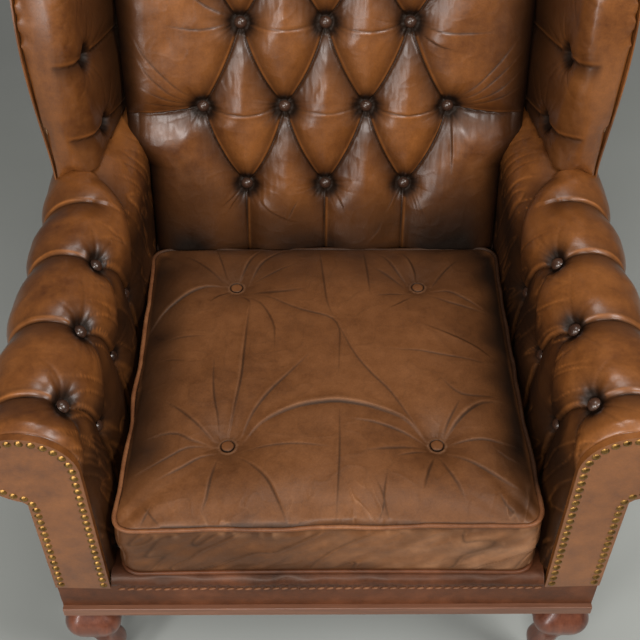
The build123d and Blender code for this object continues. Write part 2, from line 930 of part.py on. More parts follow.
# Woven webbing over the front of the back posts
web_width = 50.0
web_gap = 42.0
web_lap_on_post = 8.0
web_half = rail_end + web_lap_on_post
web_low = tack_rail_low
web_high = frame_slope_length - crest_rail_height / 2
upright_webs = 5
cross_webs = int((web_high - web_low) // (web_width + web_gap))
with BuildPart() as back_webbing:
    with BuildSketch(back_plane.offset(-post_front)):
        with Locations((0, (web_low + web_high) / 2)):
            with GridLocations(web_width + web_gap, 0, upright_webs, 1):
                Rectangle(web_width, web_high - web_low)
            with GridLocations(0, web_width + web_gap, 1, cross_webs):
                Rectangle(2 * web_half, web_width)
    extrude(amount=cover)
    add(arm_board_right.part, mode=Mode.SUBTRACT)
    mirror(arm_board_right.part, about=Plane.YZ, mode=Mode.SUBTRACT)
keep(back_webbing, "back_webbing")

# Wings, drawn on the left: forward distance from the back posts, then slope height
wing_edge_shares = (
    (0.28, 0.985),
    (0.62, 0.915),
    (0.90, 0.785),
    (1.00, 0.61),
    (0.91, 0.42),
    (0.77, 0.26),
    (0.70, 0.165),
)
wing_edge_slopes = ((1, -0.35), (-0.35, -1))
wing_root = -30.0
wing_thickness = wing_pad_thickness + wing_board_thickness
wing_edge_radius = 16.0
wing_round_shares = ((0.0, 1.0), (0.293, 0.293), (1.0, 0.0))


def wing_outline(plane, inset):
    """The wing's side outline, inset along its top and front edges."""
    edge = [
        (x * wing_reach - inset, y * (back_slope_length - inset)) for x, y in wing_edge_shares
    ]
    bottom = edge[-1][1]
    top = back_slope_length - inset
    with BuildSketch(plane) as outline:
        with BuildLine():
            Polyline(edge[-1], (wing_root, bottom), (wing_root, top), edge[0])
            Spline(*edge, tangents=wing_edge_slopes)
        make_face()
    return outline.sketch


with BuildPart() as wing_board_left:
    extrude(
        wing_outline(wing_plane.offset(wing_pad_thickness), wing_edge_wrap),
        amount=wing_board_thickness,
    )
    split(bisect_by=back_plane.offset(-post_front), keep=Keep.TOP)
    cut_below(board_top)
keep(wing_board_left, "wing_board_left")
keep_mirrored(wing_board_left, "wing_board_right")

# Buttons on the wings: forward distance and slope height of each, as shares of the wing's
wing_button_shares = ((0.51, 0.335), (0.715, 0.50), (0.68, 0.675), (0.455, 0.83))
wing_button_places = [(x * wing_reach, y * back_slope_length) for x, y in wing_button_shares]
wing_dimple_depth = 10.0
wing_dimple_mouth = 20.0
side_pleat_depth = 5.0
side_pleat_width = 4.0
pleat_stop_share = 1.5

pleat_stop = pleat_stop_share * wing_edge_radius
flat_of_wing = wing_plane.to_local_coords(wing_outline(wing_plane, pleat_stop))
with BuildPart() as wing_pad_left:
    loft([
        wing_outline(
            wing_plane.offset(depth_share * wing_edge_radius), inset_share * wing_edge_radius
        )
        for depth_share, inset_share in wing_round_shares
    ])
    extrude(
        wing_outline(wing_plane.offset(wing_edge_radius), 0),
        amount=wing_thickness - wing_edge_radius,
    )
    split(bisect_by=back_plane.offset(-back_pad_depth), keep=Keep.TOP)
    add(wing_board_left.part, mode=Mode.SUBTRACT)
    mirror(arm_form.part, about=Plane.YZ, mode=Mode.SUBTRACT)
    for x, y in wing_button_places:
        with BuildSketch(wing_plane) as mouth:
            with Locations((x, y)):
                Circle(wing_dimple_mouth)
        with BuildSketch(wing_plane.offset(wing_dimple_depth)) as floor:
            with Locations((x, y)):
                Circle(back_button_radius)
        loft([mouth.sketch, floor.sketch], mode=Mode.SUBTRACT)
        with BuildSketch(wing_plane) as side_pleat:
            with Locations((x, y)):
                Rectangle(2 * wing_reach, side_pleat_width)
            add(flat_of_wing, mode=Mode.INTERSECT)
        extrude(side_pleat.sketch, amount=side_pleat_depth, mode=Mode.SUBTRACT)
keep(wing_pad_left, "wing_pad_left")
keep_mirrored(wing_pad_left, "wing_pad_right")

wing_button_plane = Plane(wing_plane.origin, wing_plane.x_dir, -wing_plane.z_dir)
with BuildPart(wing_button_plane.offset(-wing_dimple_depth)) as wing_buttons_left:
    with Locations(*[(x, -y) for x, y in wing_button_places]):
        add(back_button.part)
keep_both(wing_buttons_left, "wing_buttons")

with BuildPart(back_plane) as post_side_skin:
    box_between(
        (-post_outer_half - cover, at_height(post_front, roll_under_height), -post_back),
        (-post_outer_half, back_slope_length, -back_pad_depth),
    )
with BuildPart() as outside_wing_left:
    extrude(wing_outline(wing_plane.offset(wing_thickness), 0), amount=cover)
    split(bisect_by=back_plane.offset(-back_pad_depth), keep=Keep.TOP)
    mirror(arm_form.part, about=Plane.YZ, mode=Mode.SUBTRACT)
    add(post_side_skin.part)
keep(outside_wing_left, "outside_wing_left")
keep_mirrored(outside_wing_left, "outside_wing_right")

# Padded arms with two rows of buttons, one on the roll's shoulder and one on the wall
arm_button_spacing = 115.0
arm_button_count = 3
first_arm_button = 60.0
wall_button_drop = 75.0
shoulder_angle = 135.0
arm_dimple_depth = 11.0
arm_dimple_mouth = 21.0
ring_start_rise = 12.0
shoulder = radians(shoulder_angle)
wall_button_height = roll_axis_height - wall_button_drop


def arm_button_planes():
    """A plane on the arm's surface for each button, facing out of the leather."""
    planes = []
    for i in range(arm_button_count):
        back = first_arm_button + i * arm_button_spacing
        on_roll = arm_plane.from_local_coords((
            roll_radius + roll_radius * cos(shoulder),
            roll_axis_height + roll_radius * sin(shoulder),
            -back,
        ))
        out = arm_plane.x_dir * cos(shoulder) + arm_plane.y_dir * sin(shoulder)
        planes.append(Plane(on_roll, arm_plane.z_dir, out))
        wall_back = back + arm_button_spacing / 2
        on_wall = arm_plane.from_local_coords((0, wall_button_height, -wall_back))
        planes.append(Plane(on_wall, arm_plane.z_dir, -arm_plane.x_dir))
    return planes


def arm_pleat_rings():
    """Places along the arm where a pleat runs over the roll from a shoulder button."""
    return [first_arm_button + i * arm_button_spacing for i in range(arm_button_count)]


with BuildPart() as arm_pad_right:
    add(arm_form.part)
    add(arm_board_right.part, mode=Mode.SUBTRACT)
    mirror(wing_board_left.part, about=Plane.YZ, mode=Mode.SUBTRACT)
    for back in arm_pleat_rings():
        with BuildSketch(arm_plane.offset(-back - side_pleat_width / 2)) as ring:
            with Locations((roll_radius, roll_axis_height)):
                Circle(roll_radius + side_pleat_depth)
                Circle(roll_radius - side_pleat_depth, mode=Mode.SUBTRACT)
            with Locations((roll_radius, roll_axis_height + ring_start_rise)):
                Rectangle(
                    2 * roll_radius + 2 * cut_overrun,
                    roll_radius + cut_overrun,
                    align=(Align.CENTER, Align.MAX),
                    mode=Mode.SUBTRACT,
                )
        extrude(ring.sketch, amount=side_pleat_width, mode=Mode.SUBTRACT)
        wall_back = back + arm_button_spacing / 2
        with BuildSketch(arm_plane.offset(-wall_back - side_pleat_width / 2)) as wall_pleat:
            with Locations((0, (rail_top + wall_button_height) / 2)):
                Rectangle(2 * side_pleat_depth, wall_button_height - rail_top)
        extrude(wall_pleat.sketch, amount=side_pleat_width, mode=Mode.SUBTRACT)
    for plane in arm_button_planes():
        with BuildSketch(plane) as mouth:
            Circle(arm_dimple_mouth)
        with BuildSketch(plane.offset(-arm_dimple_depth)) as floor:
            Circle(back_button_radius)
        loft([mouth.sketch, floor.sketch], mode=Mode.SUBTRACT)
keep(arm_pad_right, "arm_pad_right")
keep_mirrored(arm_pad_right, "arm_pad_left")

with BuildPart() as arm_buttons_right:
    for plane in arm_button_planes():
        add(plane.offset(-arm_dimple_depth).location * back_button.part)
keep_both(arm_buttons_right, "arm_buttons")

# Leather facings on the arm fronts, edged with domed nails
nail_spacing = 13.0
nail_inset = 8.0
facing_low = band_top
facing_outer = (skin_half - arm_half_front) / cos(arm_turn)
with BuildPart() as arm_facing_right:
    with BuildSketch(arm_plane):
        with BuildLine():
            Line((0, facing_low), (0, roll_axis_height))
            roll_arcs(roll_radius)
            Polyline(
                (roll_under_s, roll_under_height),
                (facing_outer, roll_under_height - (roll_under_s - facing_outer)),
                (facing_outer, facing_low),
                (0, facing_low),
            )
        make_face()
    extrude(amount=facing_thickness)
keep(arm_facing_right, "arm_facing_right")
keep_mirrored(arm_facing_right, "arm_facing_left")

with BuildPart() as nail:
    button(nail_radius, nail_height)


def spaced_along(line, spacing):
    """Points evenly spaced along a line, near a spacing, with one at each end."""
    steps = ceil(line.length / spacing)
    return [line @ (i / steps) for i in range(steps + 1)]


with BuildLine() as facing_nail_line:
    Line((nail_inset, facing_low + nail_inset), (nail_inset, roll_axis_height))
    under_end = roll_arcs(roll_radius - nail_inset)
    Polyline(
        under_end,
        (facing_outer - nail_inset, roll_under_height - nail_inset),
        (facing_outer - nail_inset, facing_low + nail_inset),
    )
with BuildPart(arm_plane.offset(facing_thickness)) as facing_nails_right:
    with Locations(*spaced_along(facing_nail_line.wire(), nail_spacing)):
        add(nail.part)
keep_both(facing_nails_right, "facing_nails")

# Outside arms, from the front to the outside back
with BuildPart() as outside_arm_right:
    box_between(
        (frame_half_width, arm_front, rail_bottom),
        (skin_half, back_y + back_total_depth + cut_overrun, roll_under_height),
    )
    split(bisect_by=back_plane.offset(-post_back - cover), keep=Keep.TOP)
    add(arm_facing_right.part, mode=Mode.SUBTRACT)
keep(outside_arm_right, "outside_arm_right")
keep_mirrored(outside_arm_right, "outside_arm_left")

# Nails round the outside back
back_nail_spacing = 18.0
nail_low = at_height(post_back, rail_bottom) + nail_inset
nail_half = post_outer_half + cover - nail_inset
rear_plane = Plane(
    back_plane.offset(-post_back - cover).origin, -back_plane.x_dir, -back_plane.z_dir
)
with BuildLine() as back_nail_line:
    Polyline(
        (-nail_half, nail_low),
        (-nail_half, back_slope_length - nail_inset),
        (nail_half, back_slope_length - nail_inset),
        (nail_half, nail_low),
    )
with BuildPart(rear_plane) as back_nails:
    with Locations(*spaced_along(back_nail_line.wire(), back_nail_spacing)):
        add(nail.part)
keep(back_nails, "back_nails")
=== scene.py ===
import bpy
import json
import math
import numpy as np
from mathutils import Matrix, Vector
from types import SimpleNamespace

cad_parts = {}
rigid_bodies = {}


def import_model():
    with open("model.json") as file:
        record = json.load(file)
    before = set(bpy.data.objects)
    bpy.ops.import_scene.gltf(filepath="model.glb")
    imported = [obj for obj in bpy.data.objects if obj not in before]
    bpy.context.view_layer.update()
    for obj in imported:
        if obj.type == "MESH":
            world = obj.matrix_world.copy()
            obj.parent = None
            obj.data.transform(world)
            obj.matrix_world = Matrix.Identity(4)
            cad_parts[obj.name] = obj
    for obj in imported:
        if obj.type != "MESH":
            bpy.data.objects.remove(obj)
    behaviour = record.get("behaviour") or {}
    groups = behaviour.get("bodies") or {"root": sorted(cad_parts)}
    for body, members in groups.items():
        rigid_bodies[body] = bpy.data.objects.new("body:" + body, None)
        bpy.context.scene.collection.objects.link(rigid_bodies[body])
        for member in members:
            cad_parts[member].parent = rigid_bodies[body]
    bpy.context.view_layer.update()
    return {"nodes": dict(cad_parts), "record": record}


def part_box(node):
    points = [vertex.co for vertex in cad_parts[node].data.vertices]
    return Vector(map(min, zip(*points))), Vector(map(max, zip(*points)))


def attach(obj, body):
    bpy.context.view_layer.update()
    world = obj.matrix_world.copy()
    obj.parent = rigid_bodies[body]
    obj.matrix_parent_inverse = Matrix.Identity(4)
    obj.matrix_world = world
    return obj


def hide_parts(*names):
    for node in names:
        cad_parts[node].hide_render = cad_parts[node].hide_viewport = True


for leftover in list(bpy.data.objects):
    bpy.data.objects.remove(leftover)

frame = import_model()
nodes = frame["nodes"]

# Sizes in metres, read from the frame or repeated from the construction
MM = 0.001
LEAN = math.radians(13.5)
LEAN_SIN, LEAN_COS = math.sin(LEAN), math.cos(LEAN)
BACK_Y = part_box("back_leather")[0].y
SEAM_TOP = (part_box("cushion_piping_top")[0].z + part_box("cushion_piping_top")[1].z) / 2
SEAM_BOTTOM = (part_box("cushion_piping_bottom")[0].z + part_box("cushion_piping_bottom")[1].z) / 2
PIPING_RADIUS = (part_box("cushion_piping_top")[1].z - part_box("cushion_piping_top")[0].z) / 2
DECK_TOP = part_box("platform_cloth")[1].z
RAIL_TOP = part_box("front_rail")[1].z
CUSHION_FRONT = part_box("front_rail")[0].y
CUSHION_BACK = BACK_Y - 4 * MM
CUSHION_HALF_FRONT = 260 * MM
CUSHION_HALF_BACK = 255 * MM
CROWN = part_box("cushion_top_panel")[1].z - SEAM_TOP
SLOPE = 660 * MM
QUILT_DEPTH = 26 * MM


# Noise and distance fields
def unit(values):
    """Values held between 0 and 1."""
    return np.clip(values, 0, 1)


def ramped(distance, width):
    """From 0 to 1 as a distance goes from 0 to a width in millimetres."""
    return unit(distance / (width * MM))


def faded(distance, width):
    """From 1 to 0 as a distance goes from 0 to a width in millimetres."""
    return unit(1 - distance / (width * MM))


def pairs(numbers):
    """Numbers taken two by two."""
    return zip(numbers[::2], numbers[1::2])


def noise(x, y, scale, seed):
    """Smooth noise from -1 to 1 over a lattice of cells as wide as scale, in millimetres."""
    size = 128
    table = np.random.default_rng(seed).uniform(-1, 1, (size, size))
    gx, gy = x / (scale * MM), y / (scale * MM)
    ix, iy = np.floor(gx).astype(int), np.floor(gy).astype(int)
    fx, fy = gx - ix, gy - iy
    fx, fy = fx * fx * (3 - 2 * fx), fy * fy * (3 - 2 * fy)
    low, high = (
        table[ix % size, row % size] * (1 - fx) + table[(ix + 1) % size, row % size] * fx
        for row in (iy, iy + 1)
    )
    return low * (1 - fy) + high * fy


def rough(x, y, scale, seed, octaves=3):
    """Layered noise, each layer half the size and half the height of the last."""
    return sum(noise(x, y, scale / 2 ** k, seed + k) / 2 ** k for k in range(octaves))


def creases(x, y, scale, seed, sharp=6):
    """A net of thin lines where warped noise changes sign, from 0 to 1."""
    wx = x + scale * MM * 0.35 * noise(x, y, scale * 1.3, seed + 11)
    wy = y + scale * MM * 0.35 * noise(x, y, scale * 1.3, seed + 12)
    return (1 - np.minimum(1, np.abs(rough(wx, wy, scale, seed, 2)))) ** sharp


def bump(distance, width):
    """A bell curve across a line or round a point."""
    return np.exp(-(distance / width) ** 2)


def to_segment(x, y, a, b):
    """Distance along, signed distance across, and distance to a segment, and its length."""
    dx, dy = b[0] - a[0], b[1] - a[1]
    length = math.hypot(dx, dy)
    ux, uy = dx / length, dy / length
    along = (x - a[0]) * ux + (y - a[1]) * uy
    across = (y - a[1]) * ux - (x - a[0]) * uy
    nearest = np.clip(along, 0, length)
    distance = np.hypot(x - a[0] - nearest * ux, y - a[1] - nearest * uy)
    return along, across, distance, length


def button_rays(x, y, centre, count, reach, width, seed):
    """Fine wrinkles that run out from a button, from 0 to 1."""
    rng = np.random.default_rng(seed)
    px, py = x - centre[0], y - centre[1]
    near = np.hypot(px, py) < reach * 1.3
    field = np.zeros_like(x)
    qx, qy = px[near], py[near]
    part = np.zeros_like(qx)
    for i in range(count):
        angle = 2 * math.pi * (i + rng.uniform(-0.4, 0.4)) / count
        length = reach * rng.uniform(0.45, 1.25)
        strength = rng.uniform(0.35, 1.0)
        bend = rng.uniform(-0.25, 0.25)
        along = qx * math.cos(angle) + qy * math.sin(angle)
        across = qy * math.cos(angle) - qx * math.sin(angle) - bend * along ** 2 / reach
        fade = unit(1 - along / length) * (along > 0)
        part = np.maximum(part, strength * bump(across, width) * fade ** 0.7)
    field[near] = part
    return field


def tufted(x, y, buttons, pleats, look):
    """Marks and depth of a buttoned and pleated surface below its fullest height; its dark marks are
    painted shade in and below the pleats, and darkening round the buttons.

    A pleat runs from its first place, which is the upper one, to its second. It sags between
    them, and its upper side overhangs in a lip. look holds the button's depth and floor radius,
    the pleat's depth, and the reach over which the leather rises to its full height.
    """
    reach, floor, thin = look.reach, look.floor, look.line
    blend = 4
    valley = np.zeros_like(x)
    notch = np.zeros_like(x)
    lip = np.zeros_like(x)
    dark = np.zeros_like(x)
    worn_and_sheen = np.zeros_like(x)
    rng = np.random.default_rng(look.seed)
    for a, b in pleats:
        along, across, _, length = to_segment(x, y, a, b)
        share = unit(along / length)
        bow = look.bow * rng.uniform(0.7, 1.25) if b in buttons else 0.3 * look.bow
        upward = math.copysign(1, b[0] - a[0] + 1e-9)
        off = upward * across + bow * np.sin(math.pi * share) ** 0.8
        past = np.maximum(np.maximum(-along, along - length), 0)
        off = np.where(past > 0, np.copysign(np.hypot(off, past), off), off)
        gap = np.abs(off)
        near = np.full_like(x, 1.0)
        for place in (a, b):
            if place in buttons:
                near = np.minimum(near, unit(np.hypot(x - place[0], y - place[1]) / (1.5 * reach)))
        depth = look.pleat + (look.button - look.pleat) * (1 - near) ** 2
        fall = unit(1 - gap / (1.08 * reach))
        slope = np.where(off > 0, unit(1 - gap / (0.92 * reach)) ** 2.6,
                         0.45 * fall ** 2 + 0.55 * np.sin(0.5 * math.pi * fall) ** 2)
        valley = valley + (depth * slope) ** blend
        held = 1.0 if b in buttons else unit(1.25 - share)
        notch = np.maximum(notch, held * np.exp(-gap / thin))
        middle = bump(share - 0.5, 0.42) * (past == 0)
        lip = np.maximum(lip, held * bump(off - 3.0 * thin, 1.7 * thin) * middle)
        # Painted shade: a dark line in each pleat's groove, a wide dark band on its lower side and a
        # narrow one on its upper side
        dark = np.maximum(dark, held * bump(off + 0.2 * thin, 0.95 * thin))
        under = np.where(off < 0, 0.60 * np.exp(-gap / (10 * MM)), 0.40 * np.exp(-gap / (5 * thin)))
        dark = np.maximum(dark, held * under)
        worn_and_sheen = np.maximum(worn_and_sheen, held * bump(off - 2.6 * thin, 1.3 * thin) * (0.25 + 0.55 * middle))
    for i, place in enumerate(buttons):
        px, py = x - place[0], y - place[1]
        d = np.hypot(px, py)
        angle = np.arctan2(py, px)
        cone = np.where(d < floor, 1.0, unit(1 - (d - floor) / (1.2 * reach)))
        valley = valley + (look.button * cone ** 3.4) ** blend
        rays = button_rays(x, y, place, look.rays, look.ray_reach, look.ray_width, 100 + i)
        notch = np.where(d < floor, 0, notch + look.ray_depth / look.crease * rays)
        # Darker round each button, in streaks, and along its wrinkles: partly painted shade in the
        # dimple
        streak = 0.8 + 0.75 * noise(angle * 40 * MM, d * 0.12, 5, 140 + i)
        out = np.maximum(d - floor, 0)
        button_darkening = 1.0 * bump(out, 0.20 * reach) + 0.60 * np.exp(-out / (0.34 * reach)) * streak
        dark = np.maximum(dark, unit(button_darkening))
        dark = np.maximum(dark, 0.45 * rays)
        lip = np.where(d < 1.4 * floor, 0, lip)
        worn_and_sheen = np.where(d < 2.4 * floor, 0, worn_and_sheen)
    valley = np.minimum(valley ** (1 / blend), look.button)
    soot = unit(valley / (1.15 * look.pleat)) ** 1.3
    return valley + look.crease * notch - look.lip * lip, dark, worn_and_sheen, soot


# Mesh builders
def make_mesh(name, points, faces, **marks):
    """A smooth mesh object from numpy points and a list of faces, with its surface marks."""
    mesh = bpy.data.meshes.new(name)
    mesh.from_pydata(points.reshape(-1, 3).tolist(), [], faces)
    mesh.update()
    set_marks(mesh, **marks)
    mesh.shade_smooth()
    piece = bpy.data.objects.new(name, mesh)
    bpy.context.scene.collection.objects.link(piece)
    return piece


def set_marks(mesh, **marks):
    """Store surface values by point: crease, wear and soot, which the leather reads; they carry painted
    shade and painted sheen along with creases, scuffing and stain.
    """
    for label, values in marks.items():
        layer = mesh.attributes.new(label + "_mark", "FLOAT", "POINT")
        values = np.asarray(values, np.float32).ravel()
        padded = np.zeros(len(mesh.vertices), np.float32)
        padded[:len(values)] = values
        layer.data.foreach_set("value", padded)


def read_points(mesh, kind="co"):
    """The places, or the normals, of a mesh's points as rows of three."""
    values = np.empty(len(mesh.vertices) * 3)
    mesh.vertices.foreach_get(kind, values)
    return values.reshape(-1, 3)


def grid_faces(rows, columns, wrap_columns=False, start=0):
    """Quads of a grid of points, row after row, closed round its columns if asked."""
    faces = []
    for i in range(rows - 1):
        low = start + i * columns
        high = low + columns
        for j in range(columns if wrap_columns else columns - 1):
            k = (j + 1) % columns
            faces.append((low + j, low + k, high + k, high + j))
    return faces


def reversed_faces(faces):
    """The same faces, turned the other way."""
    return [tuple(reversed(face)) for face in faces]


def ringed_faces(rings, sides, start):
    """Faces of a closed form made of rings of points, one after another."""
    faces = reversed_faces(grid_faces(rings, sides, True, start))
    faces.append(tuple(start + j for j in range(sides)))
    faces.append(tuple(start + (rings - 1) * sides + j for j in reversed(range(sides))))
    return faces


TUBE_SIDES = 10


def tube(name, line, radii):
    """A round cord along a closed line of points."""
    ahead = np.roll(line, -1, 0) - np.roll(line, 1, 0)
    ahead /= np.linalg.norm(ahead, axis=1, keepdims=True)
    side = np.cross(ahead, np.array([0.0, 0.0, 1.0]))
    side /= np.linalg.norm(side, axis=1, keepdims=True)
    up = np.cross(side, ahead)
    angles = np.arange(TUBE_SIDES) * 2 * math.pi / TUBE_SIDES
    ring = (side[:, None, :] * np.cos(angles)[None, :, None]
            + up[:, None, :] * np.sin(angles)[None, :, None])
    faces = []
    for i in range(len(line)):
        here, there = i * TUBE_SIDES, (i + 1) % len(line) * TUBE_SIDES
        for j in range(TUBE_SIDES):
            k = (j + 1) % TUBE_SIDES
            faces.append((here + j, there + j, there + k, here + k))
    return make_mesh(name, line[:, None, :] + ring * radii[:, None, None], faces)


# Materials
def srgb(red, green, blue):
    """A linear colour from sRGB values of 0 to 255."""
    def linear(value):
        value /= 255
        return value / 12.92 if value <= 0.04045 else ((value + 0.055) / 1.055) ** 2.4
    return (linear(red), linear(green), linear(blue), 1.0)


class Shader:
    """A new material and short ways to build its nodes, from numbers, colours or sockets."""

    def __init__(self, name):
        self.material = bpy.data.materials.new(name)
        self.material.use_nodes = True
        self.tree = self.material.node_tree
        self.place = self.node("TexCoord").outputs["Object"]

    def feed(self, socket, value):
        """Link a socket to another one, or set its constant."""
        if isinstance(value, bpy.types.NodeSocket):
            self.tree.links.new(value, socket)
        else:
            socket.default_value = value

    def node(self, kind, *values, **settings):
        """A node with settings and inputs by name, then its first inputs in their order."""
        node = self.tree.nodes.new("ShaderNode" + kind)
        for key, value in settings.items():
            if key in node.inputs.keys():
                self.feed(node.inputs[key], value)
            else:
                setattr(node, key, value)
        for socket, value in zip(node.inputs, values):
            self.feed(socket, value)
        return node

    def texture(self, kind, output="Fac", **settings):
        """One output of a texture, laid out by the object's own places unless told otherwise."""
        return self.node("Tex" + kind, **{"Vector": self.place, **settings}).outputs[output]

    def maths(self, operation, *values, clamp=False):
        """One arithmetic node."""
        return self.node("Math", *values, operation=operation, use_clamp=clamp).outputs[0]

    def mixed(self, amount, first, second, mode="MIX"):
        """A mix of two colours."""
        node = self.node("Mix", data_type="RGBA", blend_type=mode)
        for index, value in ((0, amount), (6, first), (7, second)):
            self.feed(node.inputs[index], value)
        return node.outputs[2]

    def ramp(self, factor, *stops):
        """A colour ramp with (place, colour) stops."""
        node = self.node("ValToRGB", Fac=factor)
        elements = node.color_ramp.elements
        while len(elements) < len(stops):
            elements.new(0.5)
        for element, (place, colour) in zip(elements, stops):
            element.position = place
            element.color = colour
        return node.outputs["Color"]

    def relief(self, height, strength, distance):
        """Surface directions bent by a height."""
        return self.node("Bump", Strength=strength, Distance=distance, Height=height).outputs["Normal"]

    def finished(self, **inputs):
        """The material, with its main shader's inputs set by name, an underscore for each space."""
        principled = self.tree.nodes["Principled BSDF"]
        for key, value in inputs.items():
            self.feed(principled.inputs[key.replace("_", " ")], value)
        return self.material


# Near-black browns: the first is dark stain and painted shade, the second painted shade in creases and
# grooves
GRIME_AND_SHADE_COLOUR = srgb(20, 10, 7)
CREASE_SHADE_COLOUR = srgb(17, 8, 4)
WARM_GLOSS = (1.0, 0.84, 0.70, 1.0)


def leather(name, *colours, roughness, coat, coat_roughness=0.3, index=1.45):
    """Waxed hide: tone in clouds and specks; near-black by the soot mark, which is partly dark stain
    and partly painted shade; a lighter colour by the wear mark, which is partly scuffing and partly
    painted sheen; near-black again by the crease mark, as painted shade in creases and grooves and
    darkening round buttons.

    Its colours are dark, middle, light, and the scuffed-and-sheen colour.
    """
    dark, middle, light, rubbed_and_sheen_colour = (srgb(*colour) for colour in colours)
    shader = Shader(name)
    maths, mixed = shader.maths, shader.mixed
    clouds = shader.texture("Noise", Scale=7.0, Detail=5.0, Roughness=0.55)
    mottling = shader.node("TexNoise", Vector=shader.place, Scale=42.0, Detail=6.0, Roughness=0.68)
    mottle = mottling.outputs["Fac"]
    specks = shader.texture("Noise", Scale=420.0, Detail=3.0, Roughness=0.6)
    pores = shader.texture("Voronoi", "Distance", Scale=780.0, feature="DISTANCE_TO_EDGE")
    warp = shader.node("VectorMath", mottling.outputs["Color"], (0.012, 0.012, 0.012), shader.place,
                       operation="MULTIPLY_ADD").outputs[0]
    folds = shader.texture("Voronoi", "Distance", Vector=warp, Scale=95.0, feature="DISTANCE_TO_EDGE")
    crease, worn_and_sheen, soot = (shader.node("Attribute", attribute_name=label + "_mark").outputs["Fac"]
                          for label in ("crease", "wear", "soot"))

    tone = maths("MULTIPLY_ADD", mottle, 0.45, maths("MULTIPLY", clouds, 0.55))
    colour = shader.ramp(tone, (0.30, dark), (0.50, middle), (0.72, light))
    colour = mixed(1.0, colour, maths("MULTIPLY_ADD", specks, 0.5, 0.75), "MULTIPLY")
    # Painted shade and dark stain: mixed toward a near-black brown by the soot mark
    patina_and_shading = maths("MULTIPLY", maths("MULTIPLY_ADD", mottle, 0.9, 0.3), soot, clamp=True)
    colour = mixed(patina_and_shading, colour, mixed(0.72, dark, GRIME_AND_SHADE_COLOUR))
    # Painted sheen and scuffing: the lighter colour laid on by the wear mark
    rubbed_and_sheen = maths("MULTIPLY", maths("MULTIPLY", worn_and_sheen, mottle), 1.5, clamp=True)
    colour = mixed(rubbed_and_sheen, colour, rubbed_and_sheen_colour)
    # Painted shade: creases, grooves and the darkening round buttons turn near-black by the crease mark
    colour = mixed(maths("MULTIPLY", crease, 0.95, clamp=True), colour, CREASE_SHADE_COLOUR)
    gloss = maths("MULTIPLY_ADD", mottle, 0.22, roughness - 0.11)
    dull = maths("MULTIPLY_ADD", crease, -0.95, 1.0, clamp=True)
    net = maths("MULTIPLY", folds, 6.0, clamp=True)
    height = maths("MULTIPLY_ADD", net, 0.14, maths("MULTIPLY", pores, 0.5, clamp=True))
    for layer in (specks, mottle):
        height = maths("MULTIPLY_ADD", layer, 0.5, height)
    return shader.finished(
        Base_Color=colour,
        Roughness=maths("MULTIPLY_ADD", crease, 0.15, gloss, clamp=True),
        Coat_Weight=maths("MULTIPLY", dull, coat),
        Coat_Roughness=coat_roughness,
        IOR=index,
        Specular_Tint=WARM_GLOSS,
        Normal=shader.relief(height, 0.35, 0.0009),
    )


GRAIN_SCALES = {"X": (2, 40, 40), "Z": (40, 40, 2.5)}


def wood(name, dark, light, roughness, axis, coat=0.0):
    """Timber with its grain along one axis."""
    shader = Shader(name)
    grain = shader.node("Mapping", Vector=shader.place, Scale=GRAIN_SCALES[axis]).outputs["Vector"]
    figure = shader.texture("Noise", Vector=grain, Scale=1.0, Detail=6.0, Roughness=0.6, Distortion=0.6)
    pores = shader.texture("Noise", Vector=grain, Scale=9.0, Detail=4.0, Roughness=0.7)
    tone = shader.maths("MULTIPLY_ADD", pores, 0.35, shader.maths("MULTIPLY", figure, 0.65))
    return shader.finished(
        Base_Color=shader.ramp(tone, (0.3, srgb(*dark)), (0.68, srgb(*light))),
        Roughness=shader.maths("MULTIPLY_ADD", pores, 0.2, roughness - 0.1),
        Coat_Weight=coat,
        Coat_Roughness=0.18,
        Normal=shader.relief(pores, 0.25, 0.0006),
    )


def metal(name, dark, light, roughness):
    """Metal dulled in patches."""
    shader = Shader(name)
    tone = shader.texture("Noise", Scale=160.0, Detail=4.0, Roughness=0.6)
    return shader.finished(
        Base_Color=shader.ramp(tone, (0.3, srgb(*dark)), (0.7, srgb(*light))),
        Roughness=shader.maths("MULTIPLY_ADD", tone, 0.3, roughness - 0.15),
        Metallic=1.0,
    )


def cloth(name, dark, light, threads):
    """Plain woven cloth: threads over and under, with slubs."""
    shader = Shader(name)
    over, under = (shader.texture("Wave", Scale=threads / 20, bands_direction=axis) for axis in "XY")
    slubs = shader.texture("Noise", Scale=90.0, Detail=5.0, Roughness=0.7)
    weave = shader.maths("MULTIPLY", over, under)
    tone = shader.maths("MULTIPLY_ADD", slubs, 0.7, weave)
    return shader.finished(
        Base_Color=shader.ramp(tone, (0.2, srgb(*dark)), (1.0, srgb(*light))),
        Roughness=0.9,
        Normal=shader.relief(weave, 0.4, 0.0008),
    )


def plain_floor():
    """Pale grey studio floor with a faint tone variation."""
    shader = Shader("floor_paint")
    clouds = shader.texture("Noise", Scale=1.6, Detail=3.0)
    tone = shader.ramp(clouds, (0.3, (0.36, 0.37, 0.34, 1)), (0.7, (0.42, 0.43, 0.40, 1)))
    return shader.finished(Base_Color=tone, Roughness=0.75)


